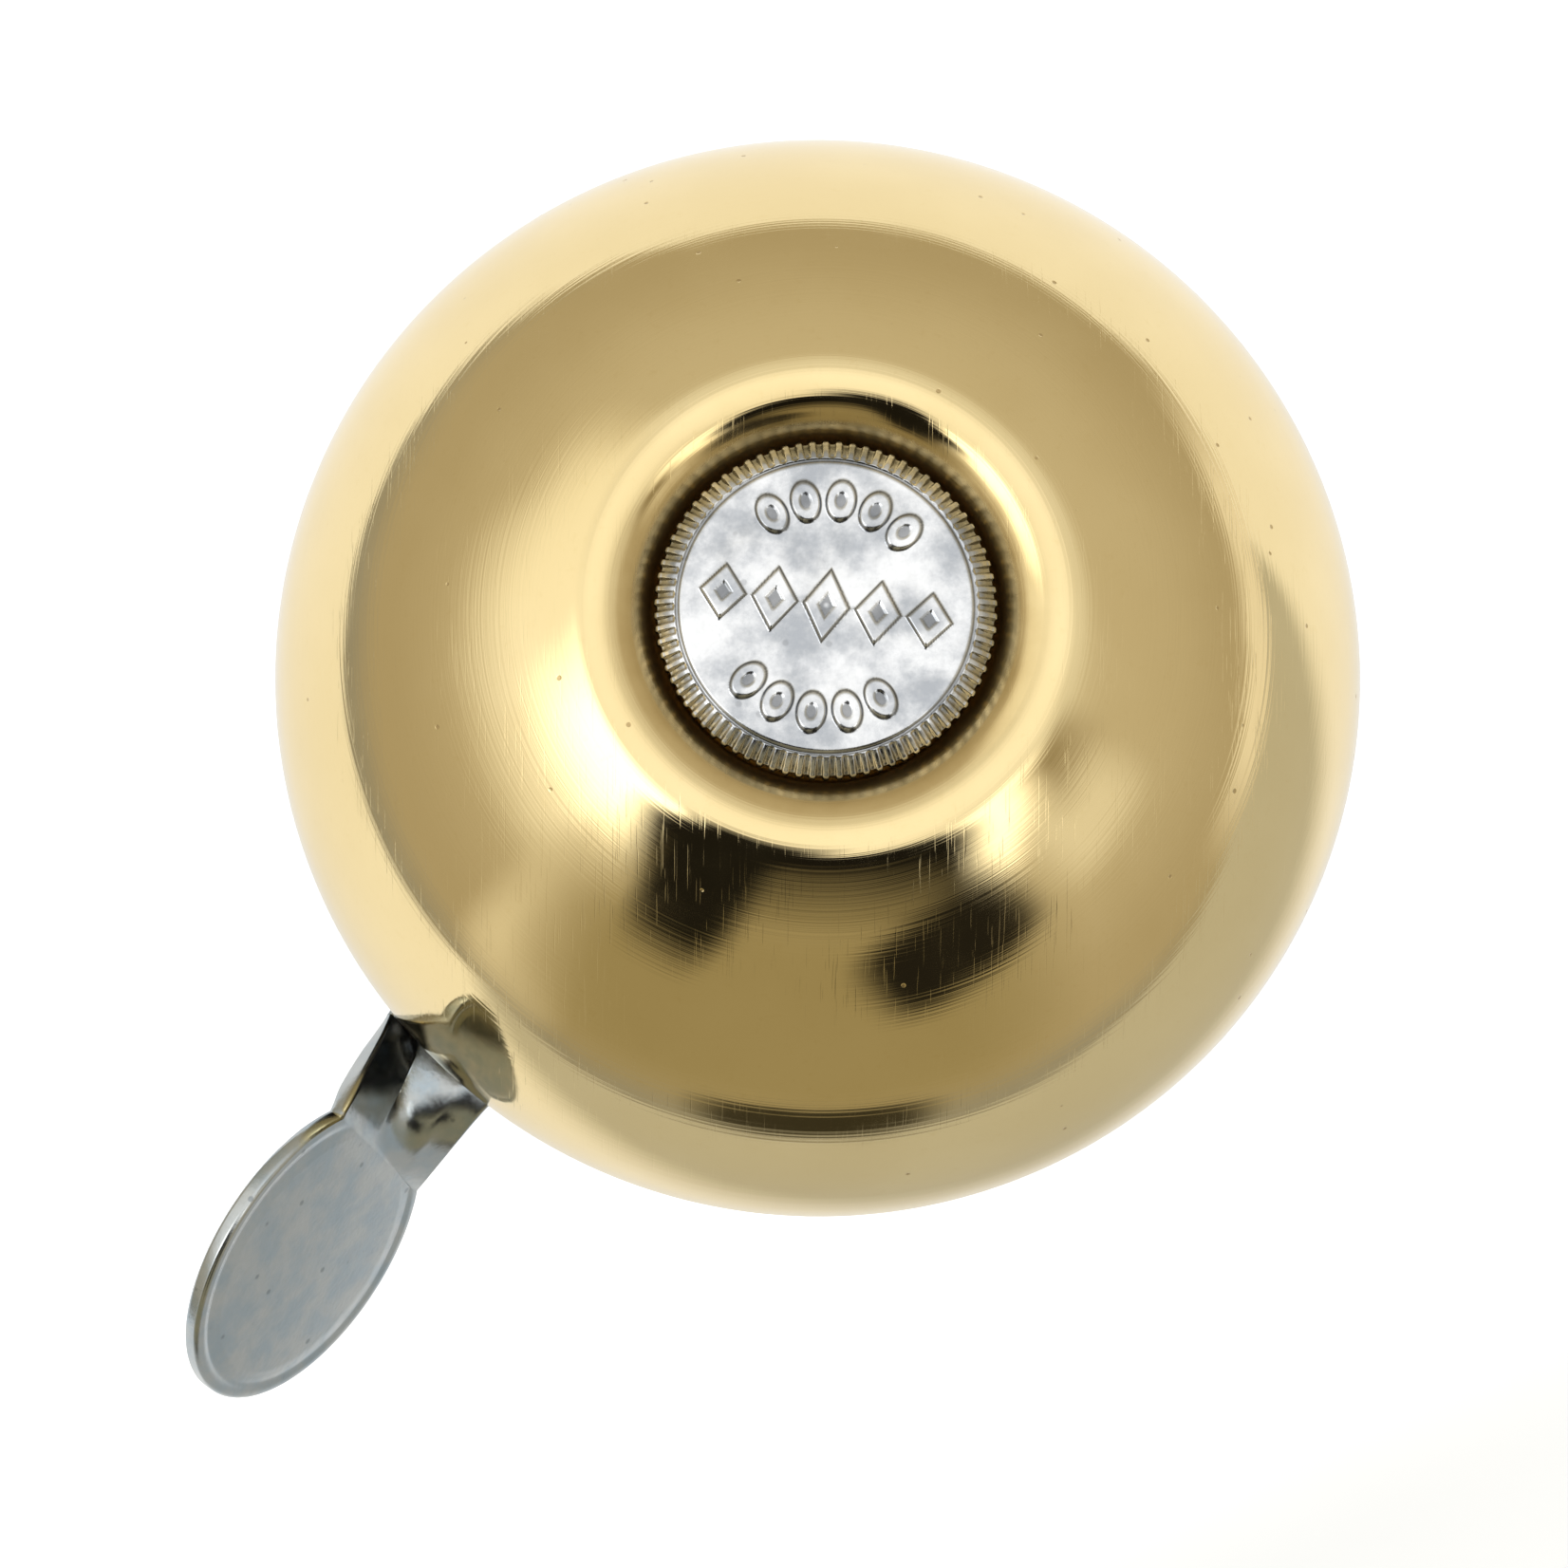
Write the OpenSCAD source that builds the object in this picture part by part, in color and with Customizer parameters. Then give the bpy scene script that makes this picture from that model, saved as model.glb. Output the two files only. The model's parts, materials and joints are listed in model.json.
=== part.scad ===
// Rotary thumb-lever bicycle bell on a handlebar band clamp.
// Millimetres. X runs along the handlebar, +Z is up through the gong.
// The origin is on the handlebar's axis, straight below the gong's centre.

/* [Gong] */
// Outside radius of the gong at its rim
gong_r = 30; // [29.8:0.1:30.4]
// Height of the ellipse that the gong's wall follows
gong_b = 24; // [23.5:0.1:24.5]
// Thickness of the spun brass wall
gong_t = 1.2; // [1.0:0.1:1.3]
// Radius of the rounded lip around the centre well
lip_r = 3.3; // [3.0:0.1:3.3]
// Depth of the centre well's floor below the lip's crest
well_depth = 4.3; // [4.0:0.1:4.4]

/* [Dome nut] */
// Outside radius of the serrated cap
cap_r = 9.1; // [8.9:0.05:9.15]
// Number of serrations on the cap's edge
cap_teeth = 78; // [60:2:90]

/* [Thumb lever] */
// Radius of the round thumb pad
pad_r = 9.2; // [8.5:0.1:9.6]
// Tilt of the pad's face away from straight up, in degrees
pad_tilt = 67.9; // [64:0.1:70]
// Thickness of the pressed steel sheet
lever_t = 1.2; // [1.0:0.1:1.2]
// Width of the arm where it leaves the base
arm_w = 7.7; // [7:0.1:8]

/* [Clamp] */
// Radius of the handlebar that the clamp holds
bar_r = 11.1; // [11.1:0.1:11.1]
// Width of the clamp band along the handlebar
band_w = 18; // [17.6:0.1:20]

/* [Hidden] */
$fn = 64;

// Heights, from the handlebar's axis
sad_in = 13.3;              // inside of the saddle's raised top
sad_t = 1.8;                // saddle sheet
floor_lo = sad_in + sad_t;  // underside of the base dish
floor_hi = floor_lo + 1;    // inside floor of the base dish
rim_z = 24.1;               // gong's rim
lev_z = 18.6;               // underside of the lever plate
gear_z = 20.5;              // underside of the large idler gear
car_z = 23.0;               // underside of the clapper carrier
ring_z = 24.45;             // underside of the clapper rings

// Plan positions
piv_r = 20.46;              // lever pivot, distance from the centre post
piv_a = 220.25;             // lever pivot, direction from the centre post
arm_a = 235.1;              // direction in which the arm points at rest
arm_l = 9;                  // pivot to the place where the arm passes under the rim
travel = 40;                // lever travel, degrees
L = [piv_r * cos(piv_a), piv_r * sin(piv_a), 0];
D = [cos(arm_a), sin(arm_a), 0];
E = [cos(arm_a + 90), sin(arm_a + 90), 0];
P0 = L + arm_l * D;
pad_s = 13.15;              // pad centre beyond P0, along the arm
pad_e = -0.12;              // pad centre to the side of the arm's line
pad_z = lev_z + lever_t / 2;
C = P0 + pad_s * D + pad_e * E + [0, 0, pad_z];

// Gears
mod = 0.7;
pa = 25;
z_sec = 46;
z_pin = 12;
z_idl = 28;
z_rot = 12;
g_r = mod * (z_idl + z_rot) / 2;          // centre post to gear pin
lg = mod * (z_sec + z_pin) / 2;           // lever pivot to gear pin
g_a = piv_a - acos((g_r * g_r + piv_r * piv_r - lg * lg) / (2 * g_r * piv_r));
G = [g_r * cos(g_a), g_r * sin(g_a), 0];
mesh_a = atan2(G[1] - L[1], G[0] - L[0]); // direction from the lever pivot to the gear pin

// Clappers
car_a = 58;                 // direction of clapper A at rest
clap_r = 19.6;

// ---------- helpers ----------
function inv(a) = tan(a) * 180 / PI - a;
function pol(r, a) = [r * cos(a), r * sin(a)];
function half_at(z, m, bl, r) =
  let (rp = m * z / 2, rb = rp * cos(pa), ht = (PI * m / 2 - bl) / 2 / rp * 180 / PI)
  r <= rb ? ht + inv(pa) : ht + inv(pa) - inv(acos(rb / r));
function tooth(z, m, bl, a, n = 5) =
  let (rp = m * z / 2, rb = rp * cos(pa), ra = rp + m, rr = rp - 1.25 * m, r0 = max(rb, rr))
  concat(
    [pol(rr, a - half_at(z, m, bl, r0))],
    [for (i = [0:n]) let (r = r0 + (ra - r0) * i / n) pol(r + (i == 0 ? 0.001 : 0), a - half_at(z, m, bl, r))],
    [for (i = [n:-1:0]) let (r = r0 + (ra - r0) * i / n) pol(r + (i == 0 ? 0.001 : 0), a + half_at(z, m, bl, r))],
    [pol(rr, a + half_at(z, m, bl, r0))]
  );
module gear2d(z, phase, bl = 0.1)
  polygon([for (k = [0:z - 1]) each tooth(z, mod, bl, phase + 360 * k / z)]);
module at(p) translate([p[0], p[1], 0]) children();
module tube(r_out, r_in, z0, z1) translate([0, 0, z0]) difference() {
  cylinder(r = r_out, h = z1 - z0);
  translate([0, 0, -1]) cylinder(r = r_in, h = z1 - z0 + 2);
}
module disc(r, z0, z1) translate([0, 0, z0]) cylinder(r = r, h = z1 - z0);

// A round wire swept along points, as one closed solid
function unit(v) = v / norm(v);
function tang(p, i) = unit(p[min(i + 1, len(p) - 1)] - p[max(i - 1, 0)]);
function sidev(t) = abs(t[2]) > 0.9 ? unit(cross(t, [1, 0, 0])) : unit(cross(t, [0, 0, 1]));
module wire(p, d, sides = 8) {
  n = len(p);
  pts = [for (i = [0:n - 1]) let (t = tang(p, i), u = sidev(t), v = cross(t, u))
      for (k = [0:sides - 1]) p[i] + d / 2 * (cos(360 * k / sides) * u + sin(360 * k / sides) * v)];
  faces = concat(
    [[for (k = [0:sides - 1]) k]],
    [for (i = [0:n - 2]) for (k = [0:sides - 1]) let (a = i * sides + k, b = i * sides + (k + 1) % sides)
        [a, a + sides, b + sides, b]],
    [[for (k = [sides - 1:-1:0]) (n - 1) * sides + k]]
  );
  polyhedron(points = pts, faces = faces, convexity = 6);
}

// ---------- gong ----------
t1 = acos(13.6 / gong_r);
function ell(t) = [gong_r * cos(t), gong_b * sin(t)];
function ell_a(t) = atan2(cos(t) / gong_r, sin(t) / gong_b);  // normal, degrees from straight up
nrm = function (a) [sin(a), cos(a)];
lip_c = ell(t1) - lip_r * nrm(ell_a(t1));
crest = lip_c[1] + lip_r;
well_z = crest - well_depth;
fil = 0.5;
lam = (lip_c + lip_r * nrm(-80))[1] - (well_z + fil * (1 - cos(80)));
fil_r = (lip_c + lip_r * nrm(-80))[0] - lam * tan(10) - fil * sin(80);
gong_pn = concat(
  [for (i = [0:30]) let (t = t1 * i / 30) [ell(t), nrm(ell_a(t))]],
  [for (i = [1:12]) let (a = ell_a(t1) + (-80 - ell_a(t1)) * i / 12) [lip_c + lip_r * nrm(a), nrm(a)]],
  [for (i = [0:6]) let (a = -80 + 80 * i / 6) [[fil_r, well_z + fil] - fil * nrm(a), nrm(a)]]
);
module gong_dome() color("goldenrod") translate([0, 0, rim_z]) rotate_extrude($fn = 96)
  polygon(concat(
    [for (q = gong_pn) q[0]],
    [[2.7, well_z], [2.7, well_z - gong_t]],
    [for (i = [len(gong_pn) - 1:-1:0]) gong_pn[i][0] - gong_t * gong_pn[i][1]]
  ));
module striker_lugs() color("silver") for (a = [135, 315]) rotate(a) intersection() {
  translate([27.1, -2.4, rim_z + 0.4]) cube([1.75, 4.8, 3.0]);
  translate([0, 0, rim_z + 0.4]) cylinder(r1 = gong_r - gong_t - 0.03, r2 = gong_r - gong_t - 0.32, h = 3.0);
}

// ---------- dome nut ----------
nut_lo = rim_z + well_z + 0.05;
nut_hi = rim_z + crest - 0.25;
module cap_profile() polygon([
  [0, nut_hi - 0.62], [8.4, nut_hi - 0.75], [8.4, nut_hi - 1.7], [cap_r, nut_hi - 1.7],
  [cap_r, nut_hi - 1.05], [cap_r - 0.2, nut_hi - 0.72], [8.0, nut_hi - 0.22], [7.95, nut_hi - 0.12], [0, nut_hi]
]);
// Plain raised ornament: a row of lozenges between two arcs of round pips
module cap_ornament() {
  rotate(-8) for (i = [-2:2]) translate([i * 2.75, 0, 0]) linear_extrude(nut_hi + 0.15)
    polygon([[-1.3, 0], [0, 2.1 - abs(i) * 0.25], [1.3, 0], [0, -2.1 + abs(i) * 0.25]]);
  for (s = [-1, 1]) for (i = [-2:2]) rotate(-8 + s * 90 + i * 19) translate([5.75, 0, 0])
    cylinder(r = 0.85, h = nut_hi + 0.13, $fn = 24);
}
module dome_nut_cap() color("silver") {
  intersection() {
    linear_extrude(60) polygon([for (k = [0:cap_teeth - 1]) let (s = 360 / cap_teeth)
      each [pol(cap_r, k * s), pol(cap_r, (k + 0.45) * s), pol(cap_r - 0.28, (k + 0.62) * s), pol(cap_r - 0.28, (k + 0.83) * s)]]);
    rotate_extrude($fn = 96) cap_profile();
  }
  difference() {
    cap_ornament();
    translate([0, 0, -1]) cylinder(r = 12, h = nut_hi + 1 - 0.3);
  }
}
module dome_nut_insert() color("darkgoldenrod") difference() {
  rotate_extrude($fn = 96) polygon([[2.55, nut_lo], [7.9, nut_lo], [8.35, nut_lo + 0.5], [8.35, nut_hi - 0.85], [2.55, nut_hi - 0.85]]);
}

// ---------- centre stack ----------
post_top = nut_hi - 1.3;
module gong_seat_washer() color("saddlebrown") tube(6.5, 2.6, rim_z + well_z - gong_t - 0.5, rim_z + well_z - gong_t);
module post_sleeve() color("silver") tube(4.4, 2.55, 24.85, rim_z + well_z - gong_t - 0.5);
module center_post() color("gainsboro") rotate_extrude($fn = 96) polygon([
  [0, sad_in - 1.2], [3.4, sad_in - 1.2], [4.4, sad_in - 0.4], [4.4, sad_in], [3.0, sad_in], [3.0, floor_hi],
  [4.4, floor_hi], [4.4, floor_hi + 1.2], [3.2, floor_hi + 1.2], [3.2, 20.1], [2.5, 20.1],
  [2.5, post_top - 0.5], [2.0, post_top], [0, post_top]
]);

// ---------- base dish ----------
dish_r = 29.2;
bowl_r = 5;
dish_top = rim_z - 1.0;
module bowl2d(t) {
  c = [dish_r - bowl_r, floor_lo + bowl_r];
  translate([0, floor_lo + t]) square([c[0], dish_top - floor_lo - t + (t > 0 ? 2 : 0)]);
  translate([0, c[1]]) square([dish_r - t, dish_top - c[1] + (t > 0 ? 2 : 0)]);
  translate(c) circle(r = bowl_r - t);
}
spring_b = 330;                              // direction of the spring's fixed leg end, from the pivot
leg_r = 7.5;
coil_r = 3.3;
wire_d = 0.7;
swing = acos(coil_r / leg_r);
B = L + leg_r * [cos(spring_b), sin(spring_b), 0];
leg_dir = spring_b + swing - 90;
SP = B - 1.2 * [cos(leg_dir), sin(leg_dir), 0] + (0.9 + wire_d / 2 + 0.03) * [cos(leg_dir - 90), sin(leg_dir - 90), 0];
module base_dish() color("lightsteelblue") difference() {
  rotate_extrude($fn = 96) difference() { bowl2d(0); bowl2d(1); }
  disc(3.02, 10, 30);
  at(L) disc(2.02, 10, 17);
  at(G) disc(1.52, 10, 17);
  at(SP) disc(0.92, 10, 17);
  for (s = [-1, 1]) at([s * 6.6, 0]) disc(1.52, 10, 17);
  for (a = [20, 275]) rotate(a) at([19, 0]) disc(1.6, 10, 17);   // drain holes
  rotate(piv_a) translate([24.5, -8.4, 17.0]) cube([8, 14.85, 12]); // lever slot, open at the top; its ends stop the arm
}

// ---------- pins, clips, spring ----------
module lever_pin() color("gainsboro") at(L) rotate_extrude($fn = 64) polygon([
  [0, floor_lo - 0.9], [2.2, floor_lo - 0.9], [3.0, floor_lo - 0.4], [3.0, floor_lo], [2.0, floor_lo], [2.0, floor_hi],
  [2.5, floor_hi], [2.5, lev_z - 0.1], [2.0, lev_z - 0.1], [2.0, 20.35], [1.6, 20.35], [1.6, 20.8], [2.0, 20.8], [2.0, 21.1], [1.7, 21.4], [0, 21.4]
]);
module gear_pin() color("gainsboro") at(G) rotate_extrude($fn = 64) polygon([
  [0, floor_lo - 0.8], [1.8, floor_lo - 0.8], [2.4, floor_lo - 0.4], [2.4, floor_lo], [1.5, floor_lo], [1.5, floor_hi],
  [3.0, floor_hi], [3.0, 18.2], [1.5, 18.2], [1.5, 21.95], [1.15, 21.95], [1.15, 22.25], [1.5, 22.25], [1.5, 22.35], [1.3, 22.5], [0, 22.5]
]);
module spring_post() color("gainsboro") at(SP) rotate_extrude($fn = 48) polygon([
  [0, floor_lo - 0.6], [1.5, floor_lo - 0.6], [1.5, floor_lo], [0.9, floor_lo], [0.9, 18.0], [0.7, 18.2], [0, 18.2]
]);
module lever_washer() color("silver") at(L) tube(4.0, 2.05, lev_z + lever_t + 0.05, lev_z + lever_t + 0.45);
module clip(p, r_in, r_out, z0, z1, a) at(p) rotate(a) difference() {
  tube(r_out, r_in, z0, z1);
  translate([0, -r_in * 0.8, z0 - 1]) cube([r_out + 1, r_in * 1.6, z1 - z0 + 2]);
}
module retaining_clips() color("dimgray") {
  clip(L, 1.62, 3.2, 20.37, 20.78, 300);
  clip(G, 1.17, 2.8, 21.96, 22.24, 30);
}
tau = 100 - swing;                           // coil direction where the moving leg leaves
sig = spring_b + swing - 360;                // coil direction where the fixed leg leaves
coil_lo = floor_hi + 0.5;
coil_hi = lev_z - 0.5;
hook = L + leg_r * [cos(100), sin(100), 0];
module lever_return_spring() color("slategray") {
  steps = 44;
  sweep = tau + 720 - sig;
  wire(concat(
    [B + [0, 0, coil_lo]],
    [for (i = [0:steps]) L + coil_r * [cos(sig + sweep * i / steps), sin(sig + sweep * i / steps), 0] + [0, 0, coil_lo + (coil_hi - coil_lo) * i / steps]],
    [hook + [0, 0, coil_hi] - 0.5 * [cos(tau + 90), sin(tau + 90), 0], hook + [0, 0, coil_hi + 0.5], hook + [0, 0, lev_z + lever_t + 0.5]]
  ), wire_d);
}

// ---------- thumb lever ----------
neck_s = 6.4;               // length of the formed neck between the bend and the pad
// Across the neck there are four lines: left edge, two creases, right edge.
// Each is [sideways, up], at the bend and where it meets the pad's plane.
function on_pad(w) = [pad_e + w * cos(pad_tilt), -w * sin(pad_tilt)];
bend = [[-arm_w / 2, 0], [-1.4, 0], [1.6, 0], [arm_w / 2, 0]];
face = [on_pad(-6.3), on_pad(-1.9), on_pad(4.2), on_pad(6.3)];
function rise(i, t) = i == 0 ? 1.35 * t - 0.35 * t * t : i == 3 ? pow(t, 1.6) : t * t;
function knot(i, s) = s <= 0 ? bend[i] : s >= neck_s ? face[i] :
  let (t = s / neck_s) [bend[i][0] + (face[i][0] - bend[i][0]) * t, face[i][1] * rise(i, t)];
function mid(s, f) = let (i = min(2, floor(f)), k = knot(i, s) + (f - i) * (knot(i + 1, s) - knot(i, s)))
  P0 + s * D + k[0] * E + [0, 0, pad_z + k[1]];
function sheet(s, f, h) = mid(s, f) +
  h * unit(cross(mid(s + 0.1, f) - mid(s - 0.1, f), mid(s, min(3, f + 0.15)) - mid(s, max(0, f - 0.15))));
function over(s) = 0.57 - 0.24 * min(1, max(0, (s - 5) / 1.4));
function under(s) = 0.57 - 0.12 * min(1, max(0, (s - 5) / 1.4));
module neck() {
  ns = 25;
  nw = 12;
  s0 = -1.6;
  s1 = 8.4;
  top = [for (i = [0:ns]) let (s = s0 + (s1 - s0) * i / ns) for (j = [0:nw]) sheet(s, 3 * j / nw, -under(s))];
  bot = [for (i = [0:ns]) let (s = s0 + (s1 - s0) * i / ns) for (j = [0:nw]) sheet(s, 3 * j / nw, over(s))];
  m = nw + 1;
  o = len(top);
  faces = concat(
    [for (i = [0:ns - 1]) for (j = [0:nw - 1]) each let (a = i * m + j) [[a, a + m, a + m + 1], [a, a + m + 1, a + 1]]],
    [for (i = [0:ns - 1]) for (j = [0:nw - 1]) each let (a = o + i * m + j) [[a, a + m + 1, a + m], [a, a + 1, a + m + 1]]],
    [for (i = [0:ns - 1]) each let (a = i * m, b = o + i * m) [[a, b, b + m], [a, b + m, a + m]]],
    [for (i = [0:ns - 1]) each let (a = i * m + nw, b = o + i * m + nw) [[a, b + m, b], [a, a + m, b + m]]],
    [for (j = [0:nw - 1]) each let (a = j, b = o + j) [[a, b + 1, b], [a, a + 1, b + 1]]],
    [for (j = [0:nw - 1]) each let (a = ns * m + j, b = o + ns * m + j) [[a, b, b + 1], [a, b + 1, a + 1]]]
  );
  polyhedron(points = concat(top, bot), faces = faces, convexity = 4);
}
module pad() translate(C) rotate([0, pad_tilt, arm_a + 90]) rotate_extrude($fn = 96) polygon([
  [0, -0.5], [pad_r - 0.3, -0.5], [pad_r, -0.2], [pad_r, 0.35], [pad_r - 0.2, 0.6], [pad_r - 0.5, 0.6], [pad_r - 0.7, 0.35],
  [pad_r - 0.95, 0.35], [pad_r - 1.15, 0.55], [0, 0.7]
]);
module thumb_lever() color("lightgray") {
  difference() {
    union() {
      translate([L[0], L[1], lev_z]) linear_extrude(lever_t) union() {
        circle(r = 6.2);
        rotate(arm_a) translate([0, -arm_w / 2]) square([arm_l + 0.3, arm_w]);
        polygon(concat([[0, 0]], [for (k = [-1:6]) each tooth(z_sec, mod, 0.1, mesh_a + 360 * k / z_sec)]));
      }
    }
    at(L) disc(2.03, 10, 30);
    at(hook) disc(0.65, 10, 30);
  }
  neck();
  pad();
}

// ---------- gear train ----------
module idler_pinion() color("khaki") at(G) difference() {
  union() {
    translate([0, 0, 18.3]) linear_extrude(gear_z - 18.3) gear2d(z_pin, mesh_a + 180 + 180 / z_pin);
    disc(2.8, gear_z, 21.85);
  }
  disc(1.53, 10, 30);
}
module idler_gear() color("khaki") at(G) difference() {
  translate([0, 0, gear_z]) linear_extrude(1.2) gear2d(z_idl, g_a + 180);
  disc(2.82, 10, 30);
  for (k = [0:4]) rotate(k * 72 + 20) at([5.9, 0]) disc(1.6, 10, 30);
}
module rotor_pinion() color("khaki") difference() {
  union() {
    translate([0, 0, 20.2]) linear_extrude(car_z - 20.2) gear2d(z_rot, g_a + 180 / z_rot);
    disc(3.2, car_z, 24.3);
    disc(4.2, 24.22, 24.75);
  }
  disc(2.53, 10, 30);
}
module clapper_carrier() color("silver") difference() {
  translate([0, 0, car_z]) linear_extrude(1.2) rotate(car_a) union() {
    circle(r = 6.8);
    square([2 * clap_r, 7.6], center = true);
    for (s = [-1, 1]) translate([s * clap_r, 0]) circle(r = 4.6);
  }
  disc(3.22, 10, 30);
  for (s = [0, 180]) rotate(car_a + s) at([clap_r, 0]) disc(1.62, 10, 30);
  for (s = [0, 180]) rotate(car_a + s) at([10.8, 0]) disc(1.9, 10, 30);
}
module clapper_pins() color("gainsboro") for (s = [0, 180]) rotate(car_a + s) at([clap_r, 0]) rotate_extrude($fn = 48)
  polygon([[0, 22.6], [1.8, 22.6], [2.2, 22.8], [2.2, car_z], [1.6, car_z], [1.6, 27.05], [3.7, 27.05], [3.7, 27.5], [3.2, 27.85], [0, 27.85]]);
module clapper_ring(s) color("darkgray") rotate(car_a + s) at([clap_r, 0]) rotate_extrude($fn = 64)
  polygon([[3.1, ring_z + 0.3], [3.4, ring_z], [5.3, ring_z], [5.8, ring_z + 0.5], [5.8, ring_z + 1.9], [5.3, ring_z + 2.4], [3.4, ring_z + 2.4], [3.1, ring_z + 2.1]]);
module clapper_ring_a() clapper_ring(0);
module clapper_ring_b() clapper_ring(180);

// ---------- clamp ----------
ear_y = 17.5;
ear_o = 22.5;
module along_bar(w) rotate([90, 0, 90]) translate([0, 0, -w / 2]) linear_extrude(w) children();
module clamp_saddle() color("silver") difference() {
  along_bar(band_w) difference() {
    union() {
      difference() { circle(r = bar_r + sad_t); translate([-20, -20]) square([40, 21.2]); }
      translate([-7.4, 1.2]) square([14.8, floor_lo - 1.2]);
      translate([-9, 1.2]) square([18, floor_lo - 1.2 - 1.6]);
      for (s = [-1, 1]) translate([s * 7.4, floor_lo - 1.6]) circle(r = 1.6, $fn = 32);
      translate([-ear_o, 1.2]) square([2 * ear_o, 1.8]);
    }
    circle(r = bar_r);
    translate([-7.2, 0]) square([14.4, sad_in]);
  }
  disc(3.02, 10, 30);
  for (s = [-1, 1]) at([s * 6.6, 0]) disc(1.52, 10, 30);
  for (s = [-1, 1]) at([0, s * ear_y]) disc(2.75, -20, 10);
}
module saddle_rivets() color("gainsboro") for (s = [-1, 1]) at([s * 6.6, 0]) rotate_extrude($fn = 48)
  polygon([[0, sad_in - 0.9], [1.5, sad_in - 0.9], [2.1, sad_in - 0.4], [2.1, sad_in], [1.5, sad_in], [1.5, floor_hi],
    [2.1, floor_hi], [2.1, floor_hi + 0.4], [1.5, floor_hi + 0.8], [0, floor_hi + 0.8]]);
module clamp_strap() color("silver") difference() {
  along_bar(band_w) difference() {
    union() {
      difference() { circle(r = bar_r + 1.6); translate([-20, -1.2]) square([40, 21.2]); }
      translate([-ear_o, -2.8]) square([2 * ear_o, 1.6]);
    }
    circle(r = bar_r);
  }
  for (s = [-1, 1]) at([0, s * ear_y]) disc(2.75, -20, 10);
}
module lock_washers() color("gray") for (s = [-1, 1]) at([0, s * ear_y]) difference() {
  tube(4.4, 2.6, -3.8, -2.8);
  rotate(40) translate([0, -0.35, -5]) cube([6, 0.7, 4]);
}
module clamp_screws() color("silver") for (s = [-1, 1]) at([0, s * ear_y]) difference() {
  rotate_extrude($fn = 64) polygon([[0, -7.0], [2.6, -6.9], [4.0, -6.2], [4.5, -5.2], [4.5, -3.8], [2.5, -3.8], [2.5, 7.4], [1.9, 8.0], [0, 8.0]]);
  rotate(30) translate([-5, -0.6, -8]) cube([10, 1.2, 2.4]);
}
module clamp_nuts() color("silver") for (s = [-1, 1]) at([0, s * ear_y]) difference() {
  translate([-4, -4, 3.0]) cube([8, 8, 3.2]);
  disc(2.53, 0, 10);
}

gong_dome();
striker_lugs();
dome_nut_cap();
dome_nut_insert();
gong_seat_washer();
post_sleeve();
center_post();
base_dish();
lever_pin();
gear_pin();
spring_post();
lever_washer();
retaining_clips();
lever_return_spring();
thumb_lever();
idler_pinion();
idler_gear();
rotor_pinion();
clapper_carrier();
clapper_pins();
clapper_ring_a();
clapper_ring_b();
clamp_saddle();
saddle_rivets();
clamp_strap();
clamp_screws();
lock_washers();
clamp_nuts();
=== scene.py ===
import bpy, bmesh, json, math
import numpy as np
from mathutils import Vector, Matrix


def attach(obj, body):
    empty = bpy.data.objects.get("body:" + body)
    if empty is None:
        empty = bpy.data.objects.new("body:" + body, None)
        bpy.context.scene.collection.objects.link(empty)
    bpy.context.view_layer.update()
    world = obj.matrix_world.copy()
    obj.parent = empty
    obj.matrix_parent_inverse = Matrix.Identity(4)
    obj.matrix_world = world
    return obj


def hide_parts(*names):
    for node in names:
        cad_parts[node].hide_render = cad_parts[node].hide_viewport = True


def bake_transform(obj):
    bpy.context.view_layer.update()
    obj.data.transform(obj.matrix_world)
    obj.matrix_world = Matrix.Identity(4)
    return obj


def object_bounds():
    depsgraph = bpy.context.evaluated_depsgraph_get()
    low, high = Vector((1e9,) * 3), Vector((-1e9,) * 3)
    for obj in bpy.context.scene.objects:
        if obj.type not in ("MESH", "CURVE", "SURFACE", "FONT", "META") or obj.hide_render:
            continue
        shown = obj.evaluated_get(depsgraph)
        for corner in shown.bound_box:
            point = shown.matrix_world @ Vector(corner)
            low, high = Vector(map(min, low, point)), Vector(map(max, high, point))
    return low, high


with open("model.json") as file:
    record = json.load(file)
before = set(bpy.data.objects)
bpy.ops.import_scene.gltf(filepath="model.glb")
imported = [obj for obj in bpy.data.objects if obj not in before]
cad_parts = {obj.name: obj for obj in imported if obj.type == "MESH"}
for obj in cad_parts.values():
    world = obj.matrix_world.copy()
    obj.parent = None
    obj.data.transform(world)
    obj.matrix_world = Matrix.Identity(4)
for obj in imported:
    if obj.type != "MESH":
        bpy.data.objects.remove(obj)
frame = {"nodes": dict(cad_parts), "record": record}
cad_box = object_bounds()
MM = 0.001
RAD = math.radians

# ------------------------------------------------------------------ camera
TILT, LEAN, DIST = 9.5, 5.8, 0.450
view_n = Vector((-math.sin(RAD(LEAN)) * math.sin(RAD(TILT)), -math.cos(RAD(LEAN)) * math.sin(RAD(TILT)), math.cos(RAD(TILT))))
look_at = Vector((-1.87, -5.98, 24.1)) * MM
cam_x = Vector((0, 1, 0)).cross(view_n).normalized()
cam_y = view_n.cross(cam_x).normalized()
cam_data = bpy.data.cameras.new("camera")
cam_data.sensor_width = 36.0
cam_data.lens = 36.0 * DIST / 0.0866
cam_data.clip_start = 0.01
cam_data.clip_end = 20.0
cam = bpy.data.objects.new("camera", cam_data)
cam.matrix_world = Matrix.Translation(look_at + view_n * DIST) @ Matrix((cam_x, cam_y, view_n)).transposed().to_4x4()
bpy.context.scene.collection.objects.link(cam)
bpy.context.scene.camera = cam


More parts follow.
